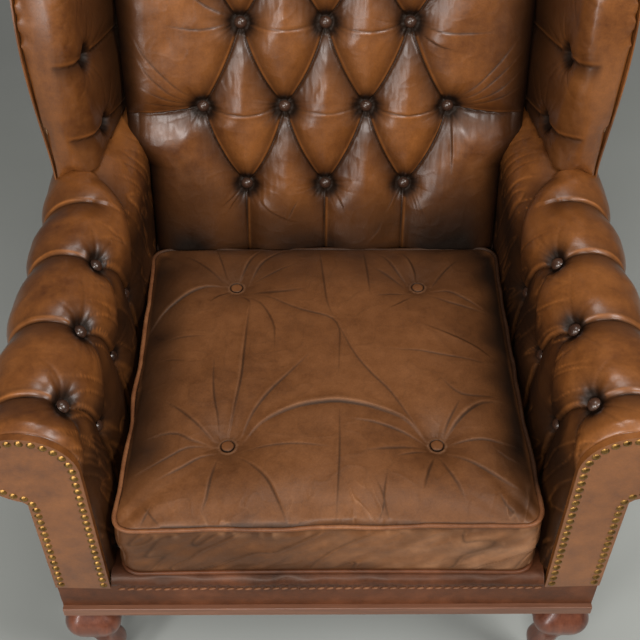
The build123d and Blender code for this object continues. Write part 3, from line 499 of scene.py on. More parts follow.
SLOT_MATERIALS = {
    "chair_leather": leather("chair_leather", (74, 38, 16), (118, 69, 30), (146, 89, 42),
                             (196, 120, 58), roughness=0.40, coat=0.75, index=1.30),
    "cushion_leather": leather("seat_leather", (78, 45, 23), (106, 65, 35), (126, 80, 46),
                               (198, 144, 104), roughness=0.44, coat=0.06, index=1.36),
    "piping_leather": leather("piping_leather", (80, 46, 27), (120, 74, 45), (156, 104, 66),
                              (196, 140, 92), roughness=0.42, coat=0.08, index=1.34),
    "polished_wood": wood("polished_wood", (62, 28, 18), (128, 72, 48), 0.34, "Z", coat=0.3),
    "beech": wood("beech", (190, 150, 108), (222, 188, 146), 0.6, "Z"),
    "nail_brass": metal("nail_brass", (92, 66, 34), (176, 134, 74), 0.38),
    "spring_steel": metal("spring_steel", (90, 90, 92), (170, 170, 172), 0.4),
    "glide_plastic": metal("glide_cap", (38, 36, 34), (58, 55, 52), 0.5),
    "jute": cloth("jute", (120, 96, 62), (190, 162, 118), 700.0),
    "black_cloth": cloth("black_cloth", (14, 14, 14), (44, 43, 42), 900.0),
    "waxed_thread": cloth("waxed_thread", (60, 36, 22), (128, 88, 58), 2400.0),
    "stuffing": cloth("stuffing", (196, 188, 166), (228, 222, 204), 300.0),
}
BAND_LEATHER = leather("band_leather", (50, 24, 11), (92, 50, 27), (126, 74, 46),
                       (176, 124, 86), roughness=0.48, coat=0.05, index=1.40)
BUTTON_LEATHER = leather("button_leather", (34, 20, 13), (56, 35, 25), (80, 52, 37),
                         (110, 76, 54), roughness=0.36, coat=0.6, coat_roughness=0.2)
STRIP_WOOD = wood("strip_wood", (84, 50, 34), (138, 92, 66), 0.42, "X", coat=0.15)
NODE_MATERIALS = {
    "front_strip": STRIP_WOOD,
    "front_band": BAND_LEATHER,
    "back_buttons": BUTTON_LEATHER,
    "arm_buttons": BUTTON_LEATHER,
    "wing_buttons": BUTTON_LEATHER,
}


def finish_piece(piece, body, slot, *replaced, material=None, fill=None):
    """Give a piece its material, the given one or its slot's, attach it to its body, and hide the CAD
    nodes it stands for.
    """
    piece.data.materials.clear()
    piece.data.materials.append(material or SLOT_MATERIALS[slot])
    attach(piece, body)
    if replaced:
        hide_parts(*replaced)


# Every CAD node that stays gets its own material or that of its slot
for subpart in frame["record"]["subparts"]:
    slots = nodes[subpart["node"]].data.materials
    slots.clear()
    slots.append(NODE_MATERIALS.get(subpart["node"], SLOT_MATERIALS[subpart["material_slot"]]))


# Buttoned back: a quilt over the back's sloping plane
def back_point(u, v, w):
    """World place of a point of the back: across, up the slope and out of its face."""
    return np.stack([
        u,
        BACK_Y + v * LEAN_SIN - w * LEAN_COS,
        SEAM_TOP + v * LEAN_COS + w * LEAN_SIN,
    ], axis=-1)


BUTTON_SPACING = 115 * MM
BUTTON_ROW_PITCH = 120 * MM
FIRST_ROW_UP = 100 * MM
ROW_COUNTS = (3, 4, 3, 4, 3)
BACK_HALF_LOW = 256 * MM
BACK_HALF_HIGH = 283 * MM
SHOULDER_LOW = 132 * MM
SHOULDER_HIGH = 182 * MM
back_rows = [
    [((i - (count - 1) / 2) * BUTTON_SPACING, FIRST_ROW_UP + row * BUTTON_ROW_PITCH)
     for i in range(count)]
    for row, count in enumerate(ROW_COUNTS)
]


def back_pleats():
    """Ends of each pleat of the back."""
    lines = []
    for low, high in zip(back_rows, back_rows[1:]):
        lines += [(b, a) for a in low for b in high if abs(a[0] - b[0]) < BUTTON_SPACING]
    for place in back_rows[0]:
        lines.append((place, (place[0], -110 * MM)))
    for place in back_rows[-1]:
        lines.append((place, (place[0], SLOPE + 20 * MM)))
    for row in back_rows:
        for place in (row[0], row[-1]):
            if len(row) == max(ROW_COUNTS):
                side = math.copysign(BACK_HALF_HIGH + 10 * MM, place[0])
                lines.append((place, (side, place[1] - 10 * MM)))
    return lines


def look_of(rays, seed, **lengths):
    """How a buttoned surface looks, with its lengths in millimetres."""
    return SimpleNamespace(rays=rays, seed=seed, **{key: size * MM for key, size in lengths.items()})


BACK_LOOK = look_of(rays=17, seed=7, button=23, floor=8.5, pleat=14.5, reach=52, bow=6, line=1.15,
                    crease=4, lip=1.0, ray_reach=44, ray_width=1.4, ray_depth=1.0)
BACK_FULL = 7 * MM

# Soft folds that fan out from the buttons of the back: height and width, then places across and
# up the slope, all in millimetres
BACK_FOLDS = (
    (1.5, 2.2, -180, 232, -214, 262, -246, 299, -262, 330),
    (1.1, 2.0, -184, 228, -216, 246, -246, 276, -258, 300),
    (1.3, 2.0, -184, 226, -220, 236, -254, 254),
    (1.2, 2.0, -186, 222, -222, 226, -262, 234),
    (1.4, 2.2, 262, 326, 238, 290, 208, 256, 180, 234),
    (1.3, 2.0, 270, 306, 240, 272, 214, 248, 184, 230),
    (1.2, 2.0, 272, 280, 240, 250, 212, 236, 186, 226),
    (1.2, 2.0, 274, 256, 236, 236, 188, 222),
    (1.0, 2.4, -124, 340, -170, 336, -214, 342),
    (1.1, 2.6, -122, 346, -160, 366, -196, 400),
    (1.2, 2.4, 224, 332, 170, 330, 124, 338),
    (1.0, 2.4, 122, 332, 150, 316, 176, 308),
    (1.2, 1.8, -146, 58, -136, 74, -122, 90),
    (1.0, 1.8, -154, 70, -138, 82, -124, 94),
    (0.9, 2.2, -106, 92, -82, 66, -48, 48, -28, 44),
    (1.4, 2.0, -38, 84, -48, 66, -56, 46),
    (1.2, 1.8, 14, 92, 26, 72, 30, 58),
    (1.3, 2.0, 86, 50, 80, 32, 62, 10),
    (1.3, 1.8, 130, 92, 142, 66, 152, 44),
    (1.2, 1.8, 126, 92, 134, 72, 138, 58),
    (1.2, 1.8, 104, 92, 98, 74, 88, 56),
    (2.2, 2.4, 178, 214, 180, 184, 182, 150, 182, 120),
    (1.6, 2.2, 168, 212, 160, 190, 150, 168),
    (1.3, 2.4, -180, 468, -226, 490, -262, 530),
    (1.3, 2.4, 262, 520, 224, 486, 180, 468),
)


def back_quilt():
    """The back's buttoned leather as one closed pad."""
    cell = 1.6 * MM
    low_v = (DECK_TOP - SEAM_TOP) * LEAN_COS
    v_line = np.arange(low_v, SLOPE + cell, cell)
    columns = int(2 * BACK_HALF_HIGH / cell)
    share = np.linspace(-1, 1, columns)
    half = np.interp(v_line, (SHOULDER_LOW, SHOULDER_HIGH), (BACK_HALF_LOW, BACK_HALF_HIGH))
    u = share[None, :] * half[:, None]
    v = np.repeat(v_line[:, None], columns, 1)
    buttons = [place for row in back_rows for place in row]
    depth, dark, worn_and_sheen, soot = tufted(u, v, buttons, back_pleats(), BACK_LOOK)
    rng = np.random.default_rng(23)
    for row in back_rows[1:]:
        for a, b in zip(row, row[1:]):
            along, across, _, length = to_segment(u, v, a, b)
            share = unit(along / length)
            sag = across + rng.uniform(3, 8) * MM * np.sin(math.pi * share)
            strength = rng.uniform(0.6, 1.1)
            inside = strength * np.sin(math.pi * share) ** 0.3 * ((along > 0) & (along < length))
            ridge = bump(sag + 3 * MM, 2.6 * MM)
            depth = depth + inside * (0.9 * MM * bump(sag, 1.7 * MM) - 0.4 * MM * ridge)
            # Painted shade in each crease between buttons, and below it a faint light line that is
            # partly painted highlight
            dark = np.maximum(dark, 0.75 * bump(sag, 1.3 * MM) * inside)
            worn_and_sheen = np.maximum(worn_and_sheen, 0.15 * bump(sag + 3 * MM, 1.5 * MM) * inside)
    from_side = half[:, None] - np.abs(u)
    w = BACK_FULL - depth * unit(0.25 + from_side / (26 * MM))
    for height, width, *numbers in BACK_FOLDS:
        places = [(a * MM, b * MM) for a, b in pairs(numbers)]
        ridge, valley = fold_field(u, v, places, 0.8 * height * MM, width * MM)
        w += ridge
        # Painted shade along each fold's crease
        dark = np.maximum(dark, 0.85 * valley)
        worn_and_sheen = np.maximum(worn_and_sheen, 0.08 * unit(ridge / (height * MM)))
    grain = noise(u, v * 0.10, 4.5, 15) + 0.6 * noise(u, v * 0.16, 2.2, 16)
    w += 0.9 * MM * rough(u, v, 45, 5) + 0.30 * MM * creases(u, v, 26, 8)
    w += (0.06 + 0.30 * soot) * MM * grain
    edge = ramped(from_side, 44)
    w -= 30 * MM * (1 - np.sqrt(unit(1 - (1 - edge) ** 2)))
    ends = ramped(from_side, 30)
    # Painted shade: near-black toward the back's sides, where it curves away
    soot = np.maximum(soot, 1.2 * faded(from_side, 64))
    dark = np.maximum(dark * ends, 0.95 * faded(from_side, 40))
    # Painted shade just above the seat, and over the lower part a darkening that is partly painted
    # shade and partly dark stain, most toward the lower corners
    dark = np.maximum(dark, 0.75 * faded(v - 4 * MM, 46) ** 1.5)
    cloud = 0.9 + 0.3 * noise(u, v, 50, 17)
    aside = ramped(np.abs(u) - 110 * MM, 90)
    low = unit(1 - (v - 4 * MM) / (118 * MM + 40 * MM * aside))
    soot = np.maximum(soot, cloud * low ** 0.7)
    dark = np.maximum(dark, cloud * (0.80 + 0.20 * aside) * low ** 0.85)
    top = ramped(v - (SLOPE - 20 * MM), 20)
    w -= 20 * MM * (1 - np.sqrt(1 - top ** 2))
    below = v < 0
    deepest = -2 * MM - 12 * MM * unit(1 + v / (24 * MM))
    w = np.where(below, np.clip(w, deepest, 0) + v * math.tan(LEAN), w)
    w = np.maximum(w, -QUILT_DEPTH + v * math.tan(LEAN) * below)
    points = back_point(u, v, w)
    rows = len(v_line)
    rim = [*range(columns),
           *range(2 * columns - 1, rows * columns, columns),
           *range(rows * columns - 2, (rows - 1) * columns - 1, -1),
           *range((rows - 2) * columns, 0, -columns)]
    flat_u, flat_v = u.ravel()[rim], v.ravel()[rim]
    behind_w = -QUILT_DEPTH + np.minimum(flat_v, 0) * math.tan(LEAN) - 2 * MM
    behind = back_point(flat_u, flat_v, behind_w)
    count = rows * columns
    faces = grid_faces(rows, columns)
    for i, at in enumerate(rim):
        n = (i + 1) % len(rim)
        faces.append((at, count + i, count + n, rim[n]))
    faces.append(tuple(range(count + len(rim) - 1, count - 1, -1)))
    everything = np.concatenate([points.reshape(-1, 3), behind])
    piece = make_mesh("back_quilt", everything, faces, crease=dark, wear=worn_and_sheen, soot=soot)
    finish_piece(piece, "chair", "chair_leather", "back_leather", fill=0.8)


# Loose seat cushion: seams pinned, panels swelled by cloth simulation, folds added after
TUFTS = [
    (side * half + shift, CUSHION_FRONT + deep)
    for half, shift, deep in ((132 * MM, 6 * MM, 115 * MM), (130 * MM, 2 * MM, 397 * MM))
    for side in (-1, 1)
]
TUFT_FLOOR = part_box("cushion_buttons")[0].z
CORNER = 26 * MM
SIDE_DRAW = 5 * MM
END_DRAW = 3 * MM
CUSHION_MIDDLE = (CUSHION_FRONT + CUSHION_BACK) / 2
SEAM_SEED = 31
WANDER_IN_DEPTH = 0.6
TUFT_HELD = 11 * MM
TUFT_EDGE = 8.6 * MM
PANEL_COLUMNS, PANEL_ROWS, BOXING_ROWS = 98, 94, 13
PIPING_COLUMNS, PIPING_ROWS = 420, 400
PIPING_OUT = 1.2 * MM


def seam_wander(x, y):
    """How far a seam wanders sideways and up, by its place."""
    sideways = 2.6 * MM * noise(x, y, 55, SEAM_SEED) + 1.2 * MM * noise(x, y, 24, SEAM_SEED + 1)
    upward = 2.2 * MM * noise(x, y, 70, SEAM_SEED + 2) + 0.8 * MM * noise(x, y, 30, SEAM_SEED + 3)
    return sideways, upward


def seam_rise(x, y):
    """How much higher the top seam lies toward the front's right, where the cushion is plumper."""
    rightward = np.clip(x / CUSHION_HALF_FRONT, -0.3, 1)
    return 6 * MM * rightward * faded(y - CUSHION_FRONT, 240)


def cushion_plan(s, t):
    """Place in plan of shares from -1 to 1 across and along the cushion, with round corners."""
    half_y = (CUSHION_BACK - CUSHION_FRONT) / 2
    deep = (t + 1) / 2
    wide = (s + 1) / 2
    taper = (CUSHION_HALF_BACK - CUSHION_HALF_FRONT) * deep
    half_x = CUSHION_HALF_FRONT + taper - SIDE_DRAW * 4 * deep * (1 - deep)
    long_y = half_y - END_DRAW * 4 * wide * (1 - wide)
    x, y = s * half_x, t * long_y
    cx = np.maximum(np.abs(x) - (half_x - CORNER), 0)
    cy = np.maximum(np.abs(y) - (long_y - CORNER), 0)
    pull = np.where((cx > 0) & (cy > 0), np.maximum(cx, cy) / np.maximum(np.hypot(cx, cy), 1e-9), 1.0)
    x = np.where(cx > 0, np.sign(x) * (half_x - CORNER + cx * pull), x)
    y = np.where(cy > 0, np.sign(y) * (long_y - CORNER + cy * pull), y)
    return x, y + CUSHION_MIDDLE


def rim_line(s, t):
    """Places in plan of points round the edge, and their directions out from the middle."""
    x, y = cushion_plan(s, t)
    away = np.stack([x, y - CUSHION_MIDDLE], -1)
    return x, y, away / np.linalg.norm(away, axis=1, keepdims=True)


def rim_shares(count_x, count_y):
    """Shares of the points round the edge of a panel's grid, counterclockwise."""
    sx = np.linspace(-1, 1, count_x)
    sy = np.linspace(-1, 1, count_y)
    s = np.concatenate([sx[:-1], np.ones(count_y - 1), sx[:0:-1], -np.ones(count_y - 1)])
    t = np.concatenate([-np.ones(count_x - 1), sy[:-1], np.ones(count_x - 1), sy[:0:-1]])
    return s, t


def rim_indices(columns, rows):
    """Indices of the points round the edge of a grid, counterclockwise."""
    return [*range(columns - 1),
            *range(columns - 1, rows * columns - 1, columns),
            *range(rows * columns - 1, (rows - 1) * columns, -1),
            *range((rows - 1) * columns, 0, -columns)]


CLOTH = {
    "quality": 5, "mass": 0.3, "tension_stiffness": 15, "compression_stiffness": 15,
    "shear_stiffness": 5, "bending_stiffness": 0.5, "air_damping": 3,
    "use_pressure": True, "uniform_pressure_force": 4.0,
}


def swell(piece, pinned, frames, cap):
    """Inflate a closed mesh with a cloth simulation, its pinned points held, and keep the shape."""
    before = read_points(piece.data)
    group = piece.vertex_groups.new(name="held")
    group.add([int(i) for i in pinned], 1.0, "REPLACE")
    modifier = piece.modifiers.new("swell", "CLOTH")
    for key, value in CLOTH.items():
        setattr(modifier.settings, key, value)
    modifier.settings.vertex_group_mass = "held"
    modifier.settings.effector_weights.gravity = 0
    modifier.collision_settings.use_collision = False
    scene = bpy.context.scene
    modifier.point_cache.frame_start = 1
    modifier.point_cache.frame_end = frames
    for number in range(1, frames + 1):
        scene.frame_set(number)
    move = read_points(piece.evaluated_get(bpy.context.evaluated_depsgraph_get()).data) - before
    size = np.linalg.norm(move, axis=1, keepdims=True)
    move *= np.minimum(1, cap / np.maximum(size, 1e-9))
    piece.modifiers.remove(modifier)
    piece.vertex_groups.remove(group)
    scene.frame_set(1)
    piece.data.vertices.foreach_set("co", (before + move).ravel())
    piece.data.update()


def subdivided(piece, levels):
    """Replace a piece's mesh by its subdivision surface."""
    modifier = piece.modifiers.new("smooth", "SUBSURF")
    modifier.levels = levels
    modifier.render_levels = levels
    graph = bpy.context.evaluated_depsgraph_get()
    finer = bpy.data.meshes.new_from_object(piece.evaluated_get(graph))
    piece.modifiers.remove(modifier)
    piece.data = finer
    return piece


# Folds of the seat's top panel: height and width in millimetres, then places in the picture.
# Each has its ridge on its left and its crease on its right, on the way from first to last.
SEAT_FOLDS = (
    (3.0, 3.0, 246, 437, 259, 425, 278, 415, 300, 408, 322, 405, 340, 404, 365, 407, 381, 411, 399, 417,
     412, 425, 425, 438),
    (1.6, 2.2, 161, 398, 178, 408, 195, 421, 216, 440),
    (1.5, 2.2, 219, 435, 217, 415, 214, 400, 213, 382, 214, 361),
    (2.1, 2.3, 228, 434, 235, 404, 241, 378, 244, 351, 247, 325, 250, 304),
    (1.8, 2.3, 240, 437, 253, 413, 269, 394, 290, 375, 308, 358),
    (1.0, 1.9, 238, 450, 256, 447, 277, 445, 300, 445, 330, 448),
    (1.7, 2.4, 234, 452, 251, 463, 267, 478, 277, 495, 284, 508, 289, 518),
    (1.6, 2.4, 200, 507, 205, 495, 210, 475, 217, 455),
    (1.6, 2.2, 158, 475, 182, 464, 199, 455, 217, 450),
    (1.3, 2.0, 130, 471, 153, 461, 172, 452, 188, 445, 213, 444),
    (1.5, 2.2, 145, 436, 161, 432, 178, 432, 191, 438, 211, 443),
    (1.3, 2.0, 180, 248, 194, 256, 210, 268, 228, 284),
    (1.2, 2.0, 228, 281, 220, 257, 216, 244),
    (2.0, 2.2, 239, 280, 247, 264, 255, 252, 262, 243),
    (1.8, 2.2, 248, 284, 260, 265, 273, 253, 284, 246, 297, 244),
    (1.0, 1.9, 250, 282, 269, 275, 282, 269, 297, 263),
    (1.2, 3.5, 246, 291, 277, 293, 304, 290),
    (1.3, 2.2, 246, 291, 267, 297, 286, 306, 303, 313, 319, 317, 333, 322, 340, 333, 340, 352, 339,
     376),
    (1.1, 2.1, 244, 294, 260, 303, 270, 317, 275, 330, 275, 350),
    (1.2, 2.2, 240, 293, 248, 298, 251, 304),
    (2.5, 2.8, 148, 326, 161, 311, 175, 301, 191, 291, 207, 285, 226, 284),
    (1.1, 2.2, 230, 290, 220, 294, 211, 301),
    (0.8, 1.9, 162, 339, 182, 337, 204, 337),
    (0.8, 2.0, 158, 359, 172, 359, 186, 361),
    (1.1, 2.0, 320, 246, 321, 257, 325, 287, 328, 306, 335, 322),
    (1.2, 2.0, 370, 296, 366, 269, 363, 248),
    (1.6, 2.2, 374, 249, 385, 256, 396, 269, 411, 286),
    (1.7, 2.2, 417, 283, 414, 269, 408, 257, 401, 248),
    (1.4, 2.2, 428, 289, 435, 280, 446, 267, 459, 255),
    (1.6, 2.4, 426, 290, 440, 290, 450, 291, 467, 299, 487, 309),
    (1.4, 2.4, 426, 292, 437, 297, 449, 302, 469, 307, 489, 311),
    (1.2, 2.0, 374, 296, 392, 294, 411, 292),
    (0.9, 2.0, 413, 295, 400, 304, 390, 309),
    (1.1, 3.0, 372, 267, 388, 275, 408, 287),
    (1.2, 2.2, 496, 358, 472, 345, 449, 336, 424, 326),
    (1.1, 2.0, 387, 351, 415, 352, 442, 356, 494, 363),
    (1.3, 2.2, 335, 322, 354, 355, 370, 374, 391, 394, 408, 416, 426, 438),
    (0.9, 2.5, 441, 379, 456, 392, 470, 396, 503, 395),
    (2.5, 2.7, 444, 438, 456, 422, 469, 410, 483, 402, 502, 399),
    (1.4, 2.4, 442, 437, 446, 425, 451, 415, 459, 401),
    (1.6, 2.2, 445, 443, 465, 440, 483, 439, 501, 442, 519, 444),
    (1.1, 2.0, 496, 449, 507, 456, 522, 461),
    (1.6, 2.4, 443, 450, 464, 458, 483, 467, 503, 478, 521, 487),
    (1.3, 2.6, 439, 454, 450, 470, 459, 483, 465, 495),
    (1.6, 2.8, 424, 487, 428, 470, 435, 453),
    (1.2, 2.2, 398, 456, 412, 452, 429, 448),
    (1.0, 3.0, 366, 451, 396, 448, 428, 445),
    (1.6, 2.2, 352, 421, 372, 423, 393, 429, 412, 436, 429, 443),
    (1.1, 2.0, 336, 514, 338, 475, 339, 448, 339, 412),
    (0.9, 2.0, 388, 472, 385, 497, 392, 517),
    (0.9, 2.0, 378, 516, 384, 499, 376, 480),
    (1.2, 1.8, 140, 498, 150, 509, 162, 521),
    (1.0, 1.8, 136, 520, 144, 508, 150, 500),
    (1.1, 2.0, 500, 490, 508, 502, 520, 512),
)

# Camera: fitted to the places of the buttons, seams and rails in the photograph
PICTURE = 640
FOCAL = 1100.0
CAMERA_PLACE = Vector((-0.0131, -1.1029, 1.5546))
CAMERA_PITCH = math.radians(46.51)
CAMERA_YAW = math.radians(-0.25)


def on_plane(pixel, height):
    """Place in plan where the camera's ray through a pixel meets a height."""
    turn = Matrix.Rotation(CAMERA_YAW, 3, "Z") @ Matrix.Rotation(math.pi / 2 - CAMERA_PITCH, 3, "X")
    ray = turn @ Vector(((pixel[0] - PICTURE / 2), (PICTURE / 2 - pixel[1]), -FOCAL))
    reach = (height - CAMERA_PLACE.z) / ray.z
    place = CAMERA_PLACE + ray * reach
    return place.x, place.y


def smooth_line(points, step):
    """Points along a smooth curve through places, about one step apart."""
    points = [points[0], *points, points[-1]]
    result = []
    for p0, p1, p2, p3 in zip(points, points[1:], points[2:], points[3:]):
        length = math.hypot(p2[0] - p1[0], p2[1] - p1[1])
        for i in range(max(2, int(length / step))):
            f = i / max(2, int(length / step))
            result.append(tuple(
                0.5 * (2 * b + (c - a) * f + (2 * a - 5 * b + 4 * c - d) * f ** 2
                       + (3 * b - a - 3 * c + d) * f ** 3)
                for a, b, c, d in zip(p0, p1, p2, p3)
            ))
    result.append(tuple(points[-1]))
    return result


def fold_field(x, y, places, height, width):
    """A fold that rises to its left and drops into a fine crease on its right, and its painted shade
    along the crease and on the crease side.
    """
    line = smooth_line(places, 9 * MM)
    total = sum(math.dist(a, b) for a, b in zip(line, line[1:]))
    reach = 7 * width
    xs, ys = zip(*line)
    inside = ((x > min(xs) - reach) & (x < max(xs) + reach)
              & (y > min(ys) - reach) & (y < max(ys) + reach))
    px, py = x[inside], y[inside]
    best = np.full_like(px, 1.0)
    side = np.zeros_like(px)
    share = np.zeros_like(px)
    travelled = 0.0
    for a, b in zip(line, line[1:]):
        along, across, distance, length = to_segment(px, py, a, b)
        closer = distance < best
        best = np.where(closer, distance, best)
        side = np.where(closer, np.copysign(distance, across), side)
        share = np.where(closer, (travelled + np.clip(along, 0, length)) / total, share)
        travelled += length
    taper = np.sin(math.pi * (0.04 + 0.92 * share)) ** 0.8
    narrow = width * (0.6 + 0.4 * taper)
    step = 0.5 + 0.5 * np.tanh(side / (0.5 * narrow))
    hill = np.exp(-np.maximum(side, 0) / (2.0 * narrow))
    dip = np.exp(-np.maximum(-side, 0) / (1.2 * narrow))
    lift = np.zeros_like(x)
    dark = np.zeros_like(x)
    lift[inside] = height * taper * (step * hill - 0.6 * (1 - step) * dip)
    shadow = 0.26 * (1 - step) * np.exp(-np.maximum(-side, 0) / (3.2 * narrow))
    dark[inside] = taper * np.maximum(bump(side + 0.35 * narrow, 0.55 * narrow), shadow)
    return lift, dark


def seat_cushion():
    """Top, boxing and bottom of the loose cushion as one closed form."""
    s, t = np.meshgrid(*(np.linspace(-1, 1, count) for count in (PANEL_COLUMNS, PANEL_ROWS)))
    x, y = cushion_plan(s, t)
    crown = CROWN * unit((1 - s ** 2) * (1 - t ** 2)) ** 0.36
    rim_x, rim_y, away = rim_line(*rim_shares(PANEL_COLUMNS, PANEL_ROWS))
    rim = rim_indices(PANEL_COLUMNS, PANEL_ROWS)
    sideways, upward = seam_wander(rim_x, rim_y)
    top = np.stack([x, y, SEAM_TOP + crown + seam_rise(x, y)], -1).reshape(-1, 3)
    top[rim, 0] += away[:, 0] * sideways
    top[rim, 1] += away[:, 1] * sideways * WANDER_IN_DEPTH
    top[rim, 2] += upward
    bottom = np.stack([x, y, np.full_like(x, SEAM_BOTTOM - PIPING_RADIUS)], -1).reshape(-1, 3)
    bottom[rim, 2] = SEAM_BOTTOM
    walls = []
    for level in np.linspace(0, 1, BOXING_ROWS + 2)[1:-1]:
        ring = top[rim] * (1 - level) + bottom[rim] * level
        ring[:, :2] += away * (3.5 * MM * math.sin(math.pi * level))
        walls.append(ring)
    per_panel = PANEL_COLUMNS * PANEL_ROWS
    loop = len(rim)
    bottom_start = per_panel + BOXING_ROWS * loop
    faces = grid_faces(PANEL_ROWS, PANEL_COLUMNS)
    faces += reversed_faces(grid_faces(PANEL_ROWS, PANEL_COLUMNS, start=bottom_start))
    rings = [rim, *(range(k, k + loop) for k in range(per_panel, bottom_start, loop)),
             [bottom_start + i for i in rim]]
    for high, low in zip(rings, rings[1:]):
        for i in range(loop):
            n = (i + 1) % loop
            faces.append((high[i], low[i], low[n], high[n]))
    piece = make_mesh("seat_cushion_shell", np.concatenate([top, *walls, bottom]), faces)
    tuft_pins = [
        i for i in range(per_panel)
        for tx, ty in TUFTS if math.hypot(top[i, 0] - tx, top[i, 1] - ty) < TUFT_HELD
    ]
    for i in tuft_pins:
        piece.data.vertices[i].co.z = TUFT_FLOOR
    held = [*rim, *tuft_pins, *range(bottom_start, bottom_start + per_panel)]
    swell(piece, held, frames=20, cap=14 * MM)
    subdivided(piece, 2)
    add_cushion_folds(piece)
    finish_piece(piece, "seat_cushion", "cushion_leather", "cushion_top_panel", "cushion_boxing",
                 "cushion_bottom_panel", "cushion_core", fill=0.75)


def add_cushion_folds(piece):
    """Tufts, folds, crumples and their marks on the cushion's skin, with painted shade and painted
    sheen among the marks.
    """
    mesh = piece.data
    points, normals = read_points(mesh), read_points(mesh, "normal")
    x, y, z = points.T
    seam = SEAM_TOP + seam_rise(x, y)
    upper = ramped(z - seam - 1 * MM, 5) * unit(normals[:, 2] * 3)
    rise, dark, worn_and_sheen = np.zeros((3, len(points)))
    full = SEAM_TOP + CROWN
    for i, (tx, ty) in enumerate(TUFTS):
        d = np.hypot(x - tx, y - ty)
        cone = np.where(d < 10 * MM, 1.0, faded(d - 10 * MM, 62))
        rise = np.minimum(rise, -np.maximum(z - TUFT_FLOOR, 0) * cone ** 2.8)
        rays = button_rays(x, y, (tx, ty), 14, 34 * MM, 1.7 * MM, 300 + i) * (d > TUFT_HELD)
        rise = rise - 0.9 * MM * rays + 1.0 * MM * bump(d - 10.5 * MM, 1.6 * MM)
        rise = np.where(d < TUFT_EDGE, rise - 0.8 * MM, rise)
        # Painted shade in the groove round each button and in the dimple about it
        dark = np.maximum(dark, bump(np.maximum(d - TUFT_EDGE, 0), 1.4 * MM))
        dark = np.maximum(dark, 0.42 * np.exp(-np.maximum(d - 10 * MM, 0) / (17 * MM)))
        dark = np.maximum(dark, 0.34 * rays)
        worn_and_sheen = np.maximum(worn_and_sheen, 0.25 * bump(d - 11.2 * MM, 1.2 * MM))
    for height, width, *numbers in SEAT_FOLDS:
        places = [on_plane(pixel, full - 3 * MM) for pixel in pairs(numbers)]
        fold_height = 0.74 * height ** 1.5 * MM
        ridge, valley = fold_field(x, y, places, fold_height, 1.3 * width * MM)
        rise = rise + ridge
        # Painted shade on each fold's crease side; its crest takes a lighter colour that is partly
        # scuffing and partly painted highlight
        dark = np.maximum(dark, (0.56 + 0.13 * height) * valley)
        rubbed_and_sheen = unit(ridge / fold_height - 0.35)
        worn_and_sheen = np.maximum(worn_and_sheen, max(0.05, 0.48 * (height - 1.3)) * rubbed_and_sheen)
    drift = 14 * MM * noise(x, y * 0, 36, 56)
    near_front = faded(y - CUSHION_FRONT + drift, 62) ** 1.3
    bent = x + 0.5 * np.sin(x / (37 * MM)) * (y - CUSHION_FRONT)
    crumple = creases(bent, y * 0.3, 17, 41, 9)
    patch = unit(0.5 + 0.9 * noise(x, y * 0, 34, 44))
    rise += near_front * patch * (1.8 * MM * crumple + 1.6 * MM * noise(bent, y * 0.3, 15, 43))
    # Light marks on the crumples by the front edge, partly scuffing and partly painted highlight
    worn_and_sheen = np.maximum(worn_and_sheen, near_front * patch * unit(crumple - 0.5) * 0.9)
    rise += 1.3 * MM * rough(x, y, 70, 47, 2) + 0.25 * MM * creases(x, y, 30, 51)
    dark = np.maximum(dark, 0.16 * creases(x, y, 30, 51, 12))
    # Painted shade with some dark stain: darker toward the left side and the back, and along the right
    # side in the right arm's shadow
    drift = 14 * MM * noise(x * 0, y, 40, 53) + 8 * MM * noise(x, y, 22, 54)
    rearward = ramped(y - CUSHION_FRONT - 30 * MM, 80)
    soot = ramped(-170 * MM + drift - x, 70) * rearward
    soot = np.maximum(soot, ramped(x - 208 * MM + drift, 40))
    soot = np.maximum(soot, 0.85 * ramped(y - CUSHION_BACK + 150 * MM + drift, 120))
    soot = soot * (0.85 + 0.3 * noise(x, y, 26, 55))
    left_edge = 0.8 * ramped(-190 * MM - x, 64)
    right_arm_shadow = 0.94 * ramped(x - 206 * MM + 0.4 * drift, 34)
    dark = np.maximum(dark, np.maximum(left_edge, right_arm_shadow) * rearward)
    z_new = z + rise * upper
    wall = ramped(seam - 4 * MM - z, 8) * ramped(z - SEAM_BOTTOM - 3 * MM, 8)
    around = np.where(np.abs(normals[:, 1]) > np.abs(normals[:, 0]), x, y)
    slanted = around - 0.9 * z + 8 * MM * noise(around, z, 34, 66)
    folds = creases(slanted, z * 0.7, 46, 63, 12)
    rightward = unit(0.5 + x / (300 * MM))
    gathers = noise(around + 0.3 * z, z * 0.25, 9, 69) * rightward
    buckle = (2.4 * MM * noise(around, z * 1.5, 42, 61) + 1.3 * MM * folds + 0.6 * MM * gathers
              + 0.6 * MM * noise(slanted * 1.5, z * 1.2, 17, 65))
    points[:, 2] = z_new
    points[:, :2] += normals[:, :2] * (buckle * wall)[:, None]
    side_face = np.abs(normals[:, 2]) < 0.8
    # Lighter toward the right, where the light falls, with random tone: painted light on the walls
    patina_and_shading = unit(0.26 + 0.60 * rightward + 0.7 * rough(slanted, z, 26, 67, 3))
    worn_and_sheen = np.maximum(worn_and_sheen * upper, 0.5 * wall * unit(folds - 0.5) * patina_and_shading)
    # Painted sheen on the walls' right part, on its gathers and in streaks
    worn_and_sheen = np.maximum(worn_and_sheen, 0.40 * wall * unit(gathers - 0.25))
    sheen_streaks = unit(0.29 + 0.24 * noise(slanted, z, 20, 70))
    worn_and_sheen = np.maximum(worn_and_sheen, wall * rightward ** 2 * sheen_streaks)
    pucker = unit(noise(around, z * 0.2, 8, 68)) * bump(seam - 8 * MM - z, 8 * MM)
    worn_and_sheen = np.maximum(worn_and_sheen, 0.40 * pucker * side_face)
